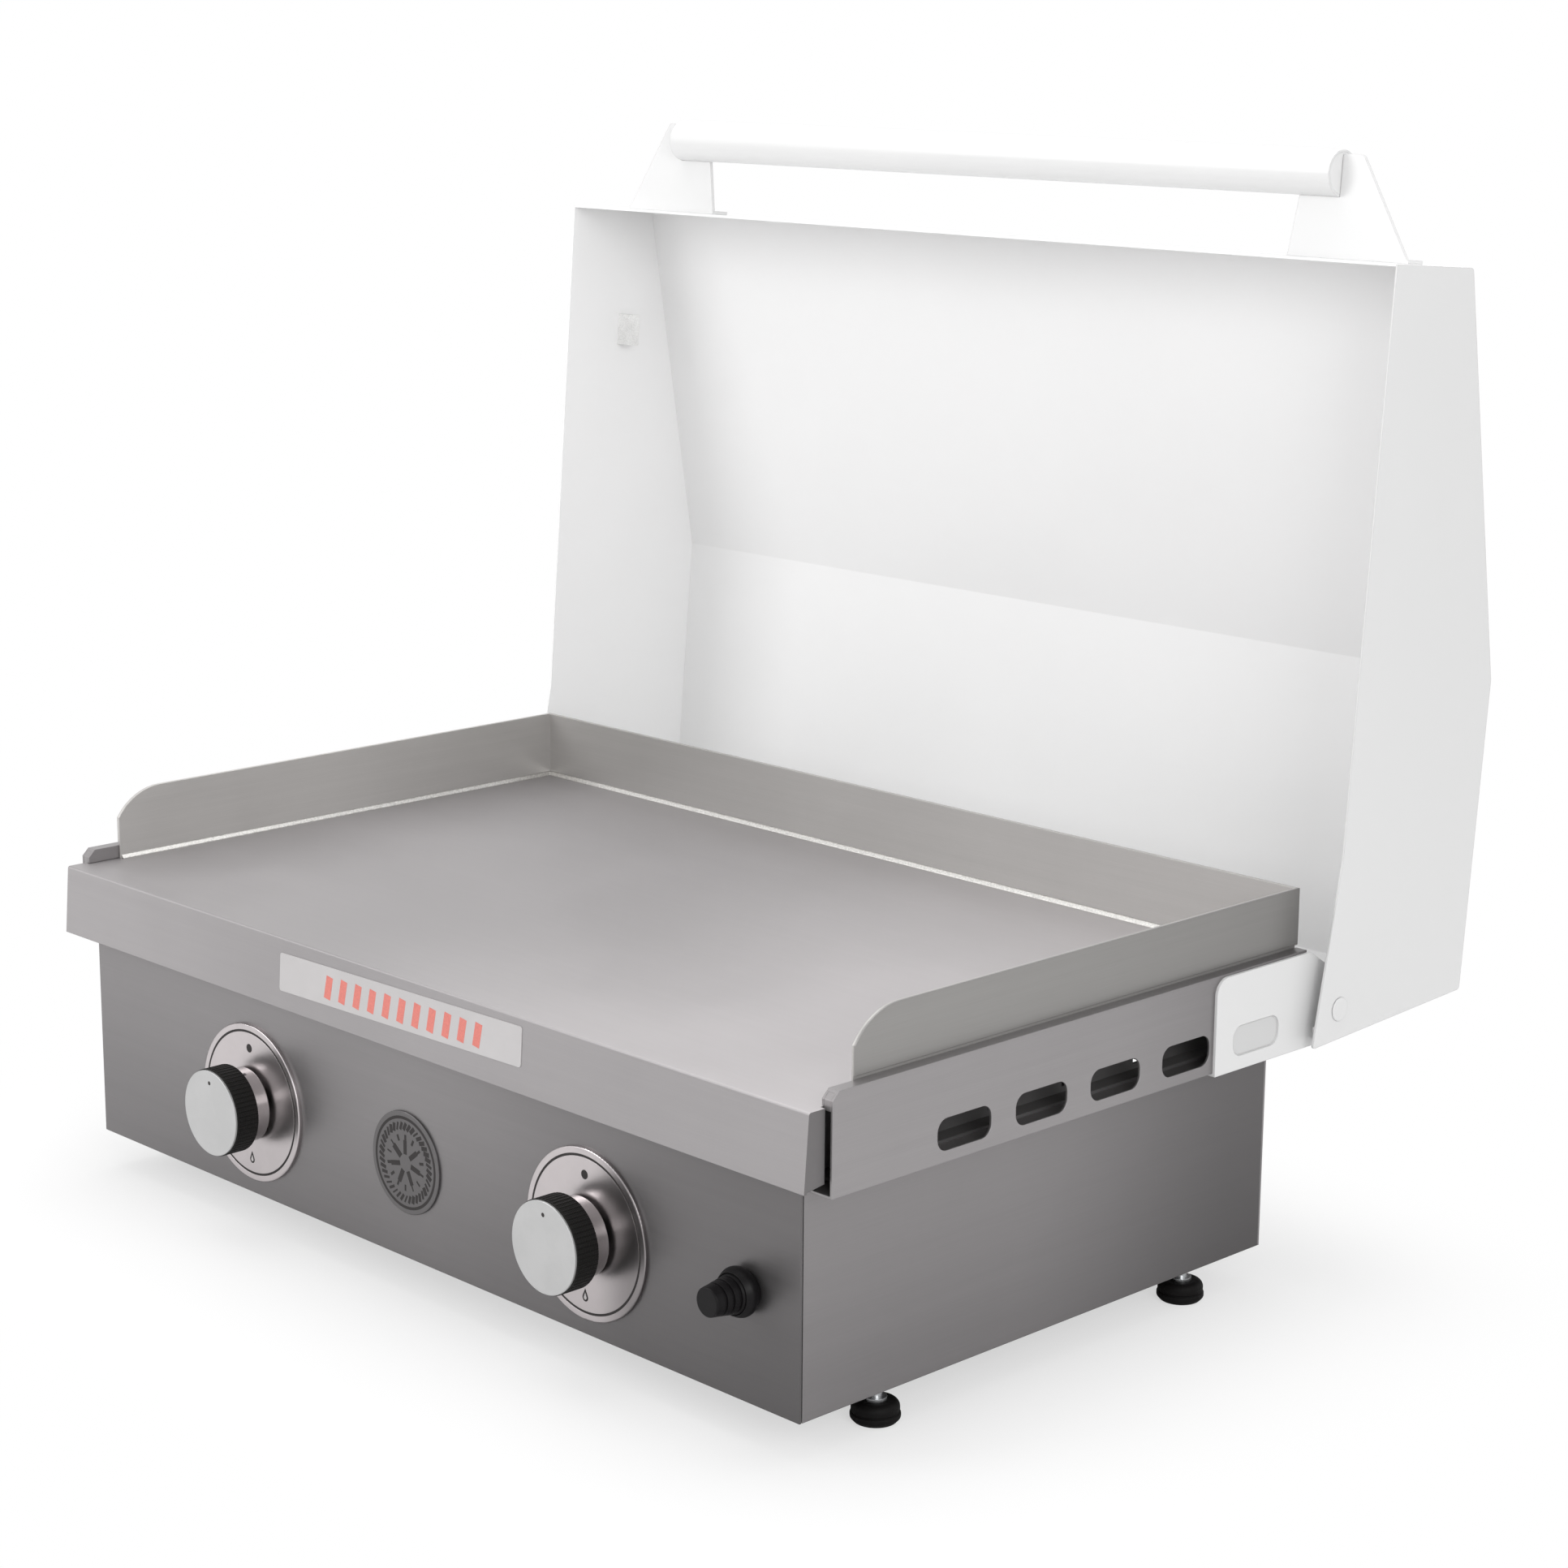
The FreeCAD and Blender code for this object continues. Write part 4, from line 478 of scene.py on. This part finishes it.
def marks_tree():
    """Blocks in a row along a step, or around a ring in the XZ plane, with random differences in height."""
    tree = bpy.data.node_groups.new("repeated_marks", "GeometryNodeTree")
    for title, kind in (("Geometry", "Geometry"), ("Count", "Int"), ("Step", "Vector"), ("Radius", "Float"),
                        ("Spread", "Float"), ("Start", "Float"), ("Slant", "Float"), ("Size", "Vector"),
                        ("Jitter", "Float"), ("Seed", "Int"), ("Finish", "Material")):
        tree.interface.new_socket(title, in_out="INPUT", socket_type="NodeSocket" + kind)
    tree.interface.new_socket("Geometry", in_out="OUTPUT", socket_type="NodeSocketGeometry")
    given = tree.nodes.new("NodeGroupInput").outputs
    index = tree.nodes.new("GeometryNodeInputIndex").outputs[0]
    last = calc(tree, "SUBTRACT", given["Count"], 1.0)
    centred = calc(tree, "SUBTRACT", index, calc(tree, "MULTIPLY", last, 0.5))
    in_row = add(tree, "ShaderNodeVectorMath", {0: given["Step"], "Scale": centred},
                 operation="SCALE").outputs[0]
    angle = calc(tree, "ADD", calc(tree, "MULTIPLY", index, given["Spread"]), given["Start"])
    ring_x = calc(tree, "MULTIPLY", calc(tree, "COSINE", angle), given["Radius"])
    ring_z = calc(tree, "MULTIPLY", calc(tree, "SINE", angle), given["Radius"])
    on_ring = add(tree, "ShaderNodeCombineXYZ", {0: ring_x, 2: ring_z}).outputs[0]
    place = add(tree, "ShaderNodeVectorMath", {0: in_row, 1: on_ring}, operation="ADD").outputs[0]
    turn_back = calc(tree, "SUBTRACT", given["Slant"], angle)
    rotation = add(tree, "ShaderNodeCombineXYZ", {1: turn_back}).outputs[0]
    spread = tree.nodes.new("FunctionNodeRandomValue")
    spread.data_type = "FLOAT"
    tree.links.new(calc(tree, "SUBTRACT", 1.0, given["Jitter"]), spread.inputs[2])
    tree.links.new(calc(tree, "ADD", 1.0, given["Jitter"]), spread.inputs[3])
    tree.links.new(index, spread.inputs["ID"])
    tree.links.new(given["Seed"], spread.inputs["Seed"])
    scale = add(tree, "ShaderNodeCombineXYZ", {0: 1.0, 1: 1.0, 2: spread.outputs[1]}).outputs[0]
    points = add(tree, "GeometryNodePoints", {"Count": given["Count"], "Position": place}).outputs[0]
    block = add(tree, "GeometryNodeMeshCube", {"Size": given["Size"]}).outputs["Mesh"]
    copies = add(tree, "GeometryNodeInstanceOnPoints", {"Points": points, "Instance": block,
                                                        "Rotation": rotation, "Scale": scale}).outputs[0]
    real = add(tree, "GeometryNodeRealizeInstances", {0: copies}).outputs[0]
    done = add(tree, "GeometryNodeSetMaterial", {"Geometry": real, "Material": given["Finish"]}).outputs[0]
    tree.links.new(done, tree.nodes.new("NodeGroupOutput").inputs[0])
    return tree


MARKS = marks_tree()


def new_piece(name, mesh, body, place=None):
    """A finished piece at the origin, unrotated, on a CAD body."""
    if place:
        mesh.transform(place)
    mesh.update()
    item = bpy.data.objects.new(name, mesh)
    bpy.context.scene.collection.objects.link(item)
    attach(item, body)
    return item


def marks(name, body, slot, material, place, **inputs):
    """Run the repeated marks tree with these inputs, in metres and radians, and keep its plain mesh."""
    maker = bpy.data.objects.new(name + "_maker", bpy.data.meshes.new(name + "_maker"))
    bpy.context.scene.collection.objects.link(maker)
    modifier = maker.modifiers.new("marks", "NODES")
    modifier.node_group = MARKS
    values = {"Count": 1, "Step": (0.0, 0.0, 0.0), "Radius": 0.0, "Spread": 0.0, "Start": 0.0, "Slant": 0.0,
              "Size": (0.001, 0.001, 0.001), "Jitter": 0.0, "Seed": 7, "Finish": material}
    values.update(inputs)
    for item in MARKS.interface.items_tree:
        if item.item_type == "SOCKET" and item.in_out == "INPUT" and item.name in values:
            modifier[item.identifier] = values[item.name]
    maker.update_tag()
    shaped = maker.evaluated_get(bpy.context.evaluated_depsgraph_get())
    mesh = bpy.data.meshes.new_from_object(shaped)
    mesh.name = name
    maker.modifiers.remove(modifier)
    bpy.data.objects.remove(maker)
    return new_piece(name, mesh, body, place)


def closed_mesh(shape, name):
    bmesh.ops.recalc_face_normals(shape, faces=shape.faces)
    mesh = bpy.data.meshes.new(name)
    shape.to_mesh(mesh)
    shape.free()
    return mesh


def plate_of(outline, front, depth):
    """A thin plate from an outline of (x, z) points, from y = front back to front + depth."""
    shape = bmesh.new()
    near = [shape.verts.new((x, front, z)) for x, z in outline]
    far = [shape.verts.new((x, front + depth, z)) for x, z in outline]
    shape.faces.new(near)
    shape.faces.new(list(reversed(far)))
    for i in range(len(outline)):
        j = (i + 1) % len(outline)
        shape.faces.new((near[j], near[i], far[i], far[j]))
    return closed_mesh(shape, "plate")


def ring_of(inner, outer, front, depth, steps=96):
    """A flat ring about the Y axis."""
    shape = bmesh.new()
    loops = []
    for radius, y in ((inner, front), (outer, front), (outer, front + depth), (inner, front + depth)):
        loops.append([shape.verts.new((radius * math.cos(math.tau * i / steps), y,
                                       radius * math.sin(math.tau * i / steps))) for i in range(steps)])
    for a, b in ((0, 1), (1, 2), (2, 3), (3, 0)):
        for i in range(steps):
            j = (i + 1) % steps
            shape.faces.new((loops[a][i], loops[a][j], loops[b][j], loops[b][i]))
    return closed_mesh(shape, "ring")


def coated(mesh, material):
    mesh.materials.append(material)
    return mesh


def arc(centre, radius, first, last, steps=14):
    turns = [math.radians(first + (last - first) * i / steps) for i in range(steps + 1)]
    return [(centre[0] + radius * math.cos(a), centre[1] + radius * math.sin(a)) for a in turns]


PRINT_DEPTH = 0.1 * MM
GROOVE_INNER, GROOVE_OUTER = 49.0 * MM, 50.9 * MM
POINTER_AT, POINTER_RADIUS = 21.0 * MM, 1.38 * MM


def bezel_marks():
    """A dark ring painted as the shade of each bezel's groove, and a dot above and a drop below where the
    knob points, on each bezel.
    """
    for side in ("left", "right"):
        centre = middle("knob_bezel_" + side)
        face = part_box("knob_bezel_" + side)[0].y
        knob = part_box("knob_face_" + side)[0].y
        print_front = face - 0.08 * MM
        place = Matrix.Translation((centre.x, 0, centre.z))
        # Painted shade: a thin dark ring stands in for the groove.
        groove = ring_of(GROOVE_INNER, GROOVE_OUTER, face + 0.06 * MM, 0.35 * MM)
        dot = plate_of(arc((0, 38.5 * MM), 3.0 * MM, 0, 345, 20), print_front, PRINT_DEPTH)
        drop = arc((0, -40.5 * MM), 2.6 * MM, 150, 390, 16) + [(0, -34.6 * MM)]
        inside = arc((0, -40.6 * MM), 1.3 * MM, 150, 390, 12) + [(0, -37.2 * MM)]
        heart = plate_of(inside, face - 0.14 * MM, PRINT_DEPTH)
        for name, mesh, material in (("bezel_groove_shade_", groove, INK_AND_SHADE), ("off_mark_", dot, INK_AND_SHADE),
                                     ("flame_mark_", plate_of(drop, print_front, PRINT_DEPTH), INK_AND_SHADE),
                                     ("flame_heart_", heart, BRIGHT)):
            new_piece(name + side, coated(mesh, material), "base", place)
        spot = plate_of(arc((0, POINTER_AT), POINTER_RADIUS, 0, 345, 20), knob + 0.02 * MM, 0.5 * MM)
        new_piece("pointer_spot_" + side, coated(spot, INK_AND_SHADE), "knob_" + side, place)


def badge_marks():
    """Plain engraved rings, a ring of short strokes and a rosette on the badge."""
    centre = middle("front_badge")
    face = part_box("front_badge")[0].y
    flat = Matrix.Translation((centre.x, 0, centre.z))
    lifted = Matrix.Translation((centre.x, face, centre.z))
    groove = ring_of(29.2 * MM, 31.2 * MM, face - 0.03 * MM, 0.4 * MM)
    new_piece("badge_groove", coated(groove, INK_AND_SHADE), "base", flat)
    marks("badge_strokes", "base", "badge_steel", INK_AND_SHADE, lifted, Count=40, Radius=24.5 * MM,
          Spread=math.tau / 40, Size=(5.6 * MM, 0.16 * MM, 2.2 * MM), Jitter=0.5, Seed=11, Slant=0.5)
    marks("badge_petals", "base", "badge_steel", INK_AND_SHADE, lifted, Count=7, Radius=10.5 * MM,
          Spread=math.tau / 7, Start=math.pi / 2, Size=(9.5 * MM, 0.16 * MM, 3.2 * MM), Jitter=0.3, Seed=5)
    marks("badge_rays", "base", "badge_steel", INK_AND_SHADE, lifted, Count=14, Radius=17.0 * MM,
          Spread=math.tau / 14, Start=0.2, Size=(4.2 * MM, 0.14 * MM, 1.5 * MM), Jitter=0.4, Seed=3)


def label_bars():
    """Slanted red bars on the fascia's strip."""
    centre = middle("fascia_label")
    lean = math.atan2(3.6, 47.5)                # the fascia leans out by this much over its height
    tilt = math.radians(-1.0)
    place = (Matrix.Translation(centre) @ Matrix.Rotation(-lean, 4, "X") @ Matrix.Rotation(tilt, 4, "Y")
             @ Matrix.Translation((5.5 * MM, -0.2 * MM, -1.0 * MM)))
    marks("label_bars", "base", "label_film", RED, place, Count=11, Step=(15.2 * MM, 0, 0), Slant=0.16,
          Size=(6.8 * MM, 0.12 * MM, 15.5 * MM), Jitter=0.04, Seed=2)


def across_x(outline, near, far, y, z):
    """A plate from an outline of (y, z) points about (y, z), from x = near to x = far."""
    low, high = sorted((-near, -far))
    mesh = plate_of(outline, low, high - low)
    mesh.transform(Matrix.Translation((0, y, z)) @ Matrix.Rotation(math.radians(90), 4, "Z"))
    return mesh


def rail_ends():
    """A folded tab that closes the front of each vent rail above the plate."""
    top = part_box("griddle_plate")[1].z
    tab = [(0.05, -2.0), (0.05, 4.5), (5.0, 9.45), (5.0, 8.9), (0.5, 4.3), (0.5, -2.0)]
    for side, sign in (("left", -1), ("right", 1)):
        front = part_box("vent_rail_" + side)[0].y
        outline = [(y * MM, z * MM) for y, z in tab]
        mesh = across_x(outline, sign * 371.9 * MM, sign * 377.2 * MM, front, top)
        new_piece("rail_end_" + side, coated(mesh, bpy.data.materials["rail_steel"]), "base")


def recess_floors():
    """The duller floor of the pressed recess in each hinge bracket, painted darker as shade."""
    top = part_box("griddle_plate")[1].z
    middle_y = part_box("splash_guard")[1].y - 52.1 * MM
    outline = []
    for y, z, first in ((14.6, 1.6, 0), (-14.6, 1.6, 90), (-14.6, -1.6, 180), (14.6, -1.6, 270)):
        outline += arc((y * MM, z * MM), 8.0 * MM, first, first + 90, 8)
    for side, sign in (("left", -1), ("right", 1)):
        low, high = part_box("hinge_bracket_" + side)
        outside = max(abs(low.x), abs(high.x))
        mesh = across_x(outline, sign * (outside - 1.15 * MM), sign * (outside - 1.05 * MM), middle_y,
                        top - 36.4 * MM)
        new_piece("recess_floor_" + side, coated(mesh, SHADED_DULL), "base")


def screw_recess_shades():
    """A dark cross painted on each dome head on the rear panel as the shade of its cross recess."""
    low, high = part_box("rear_screws")
    head_radius = 4 * MM
    span = high.x - low.x - 2 * head_radius
    rows = {"low": (low.z + head_radius, 4, span / 3), "high": (high.z - head_radius, 2, span)}
    for row, (z, count, step) in rows.items():
        for stroke, slant in (("a", 0.785), ("b", -0.785)):
            marks(f"screw_recess_{row}_{stroke}", "base", "zinc_steel", INK_AND_SHADE,
                  Matrix.Translation(((low.x + high.x) / 2, high.y - 0.1 * MM, z)), Count=count,
                  Step=(step, 0, 0), Slant=slant, Size=(4.0 * MM, 0.24 * MM, 0.8 * MM))


# Dark print and engraving, also painted as shade into the bezel grooves and the screw recesses.
INK_AND_SHADE = engraved("engraved_dark_and_shade")
BRIGHT = plated("bright_steel", (0.5, 0.48, 0.48), 0.25)
RED = printed("printed_red", (0.60, 0.17, 0.14))
# Rougher and darker enamel: painted shade on the recess floors.
SHADED_DULL = enamel("dull_shaded_enamel", (0.53, 0.53, 0.53), 0.5)
bezel_marks()
badge_marks()
label_bars()
rail_ends()
recess_floors()
screw_recess_shades()


# ---- floor, light and camera -----------------------------------------------------------------------

def studio_floor():
    """A pale floor that takes the shadow and fades into the white background away from the casing."""
    bpy.ops.mesh.primitive_plane_add(size=24.0, location=(0, 0, -0.0002))
    floor = bpy.context.object
    floor.name = "studio_floor"
    material = bpy.data.materials.new("studio_floor")
    material.use_nodes = True
    tree = material.node_tree
    tree.nodes.clear()
    where = tree.nodes.new("ShaderNodeTexCoord").outputs["Object"]
    mottled = noise(tree, where, 2.0, 3.0)
    shade = ramp(tree, mottled, 0.3, 0.7, 0.985, 1.0)
    colour = add(tree, "ShaderNodeVectorMath", {0: (0.82, 0.82, 0.82), "Scale": shade},
                 operation="SCALE").outputs[0]
    matt = add(tree, "ShaderNodeBsdfDiffuse", {"Color": colour}).outputs[0]
    white = add(tree, "ShaderNodeEmission", {"Color": (1, 1, 1, 1), "Strength": 1.0}).outputs[0]
    place = add(tree, "ShaderNodeSeparateXYZ", {0: where}).outputs
    from_middle = calc(tree, "ADD", place["Y"], 0.073)
    beside, ahead = (
        calc(tree, "MAXIMUM", calc(tree, "SUBTRACT", calc(tree, "ABSOLUTE", along), half), 0.0)
        for along, half in ((place["X"], 0.357), (from_middle, 0.211)))
    away = calc(tree, "SQRT", calc(tree, "ADD", calc(tree, "MULTIPLY", beside, beside),
                                   calc(tree, "MULTIPLY", ahead, ahead)))
    ray = tree.nodes.new("ShaderNodeLightPath").outputs
    share = calc(tree, "MULTIPLY", ray["Is Camera Ray"], ramp(tree, away, 0.0, 0.24, 0.58, 1.0))
    blended = add(tree, "ShaderNodeMixShader", {0: share, 1: matt, 2: white}).outputs[0]
    add(tree, "ShaderNodeOutputMaterial", {"Surface": blended})
    floor.data.materials.append(material)


def studio_world():
    world = bpy.data.worlds.new("studio")
    bpy.context.scene.world = world
    world.use_nodes = True
    tree = world.node_tree
    tree.nodes.clear()
    ray = tree.nodes.new("ShaderNodeLightPath").outputs
    seen = calc(tree, "MAXIMUM", ray["Is Camera Ray"],
                calc(tree, "MAXIMUM", ray["Is Glossy Ray"], ray["Is Transmission Ray"]))
    strength = ramp(tree, seen, 0.0, 1.0, 0.82, 1.0)
    light = add(tree, "ShaderNodeBackground", {"Color": (1, 1, 1, 1), "Strength": strength})
    add(tree, "ShaderNodeOutputWorld", {"Surface": light.outputs[0]})


def soft_box(name, place, aim, width, height, power):
    data = bpy.data.lights.new(name, "AREA")
    data.shape = "RECTANGLE"
    data.size, data.size_y, data.energy = width, height, power
    lamp = bpy.data.objects.new(name, data)
    bpy.context.scene.collection.objects.link(lamp)
    lamp.location = place
    lamp.rotation_euler = (Vector(aim) - Vector(place)).to_track_quat("-Z", "Y").to_euler()


def plate_front():
    """The upper line of the plate's fascia, from the guard's front edge behind it."""
    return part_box("splash_guard")[0].y - 39.6 * MM


def camera():
    """Front right, 13 degrees above the plate, aimed at a point behind and above the fascia."""
    azimuth, elevation, roll = (math.radians(a) for a in (45.8, 13.0, 0.4))
    distance, sensor, lens = 2.2474, 36.0, 77.79
    target = Vector((0.0783, plate_front() + 0.2672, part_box("griddle_plate")[1].z + 0.0954))
    back = Vector((math.sin(azimuth) * math.cos(elevation), -math.cos(azimuth) * math.cos(elevation),
                   math.sin(elevation)))
    right = (-back).cross(Vector((0, 0, 1))).normalized()
    up = right.cross(-back)
    across = right * math.cos(roll) + up * math.sin(roll)
    upward = up * math.cos(roll) - right * math.sin(roll)
    data = bpy.data.cameras.new("camera")
    data.sensor_width, data.lens = sensor, lens
    item = bpy.data.objects.new("camera", data)
    bpy.context.scene.collection.objects.link(item)
    turn = Matrix((across, upward, back)).transposed()
    item.matrix_world = Matrix.Translation(target + back * distance) @ turn.to_4x4()
    bpy.context.scene.camera = item


studio_floor()
studio_world()
soft_box("top_box", (-0.3, 0.2, 2.6), (0, 0, 0.2), 2.4, 2.0, 31)
soft_box("front_box", (-1.6, -2.4, 1.5), (0, 0, 0.3), 1.6, 1.4, 29)
soft_box("right_box", (2.4, -1.0, 1.2), (0, 0.1, 0.35), 1.4, 1.2, 24)
camera()
bpy.context.scene.view_settings.view_transform = "Standard"
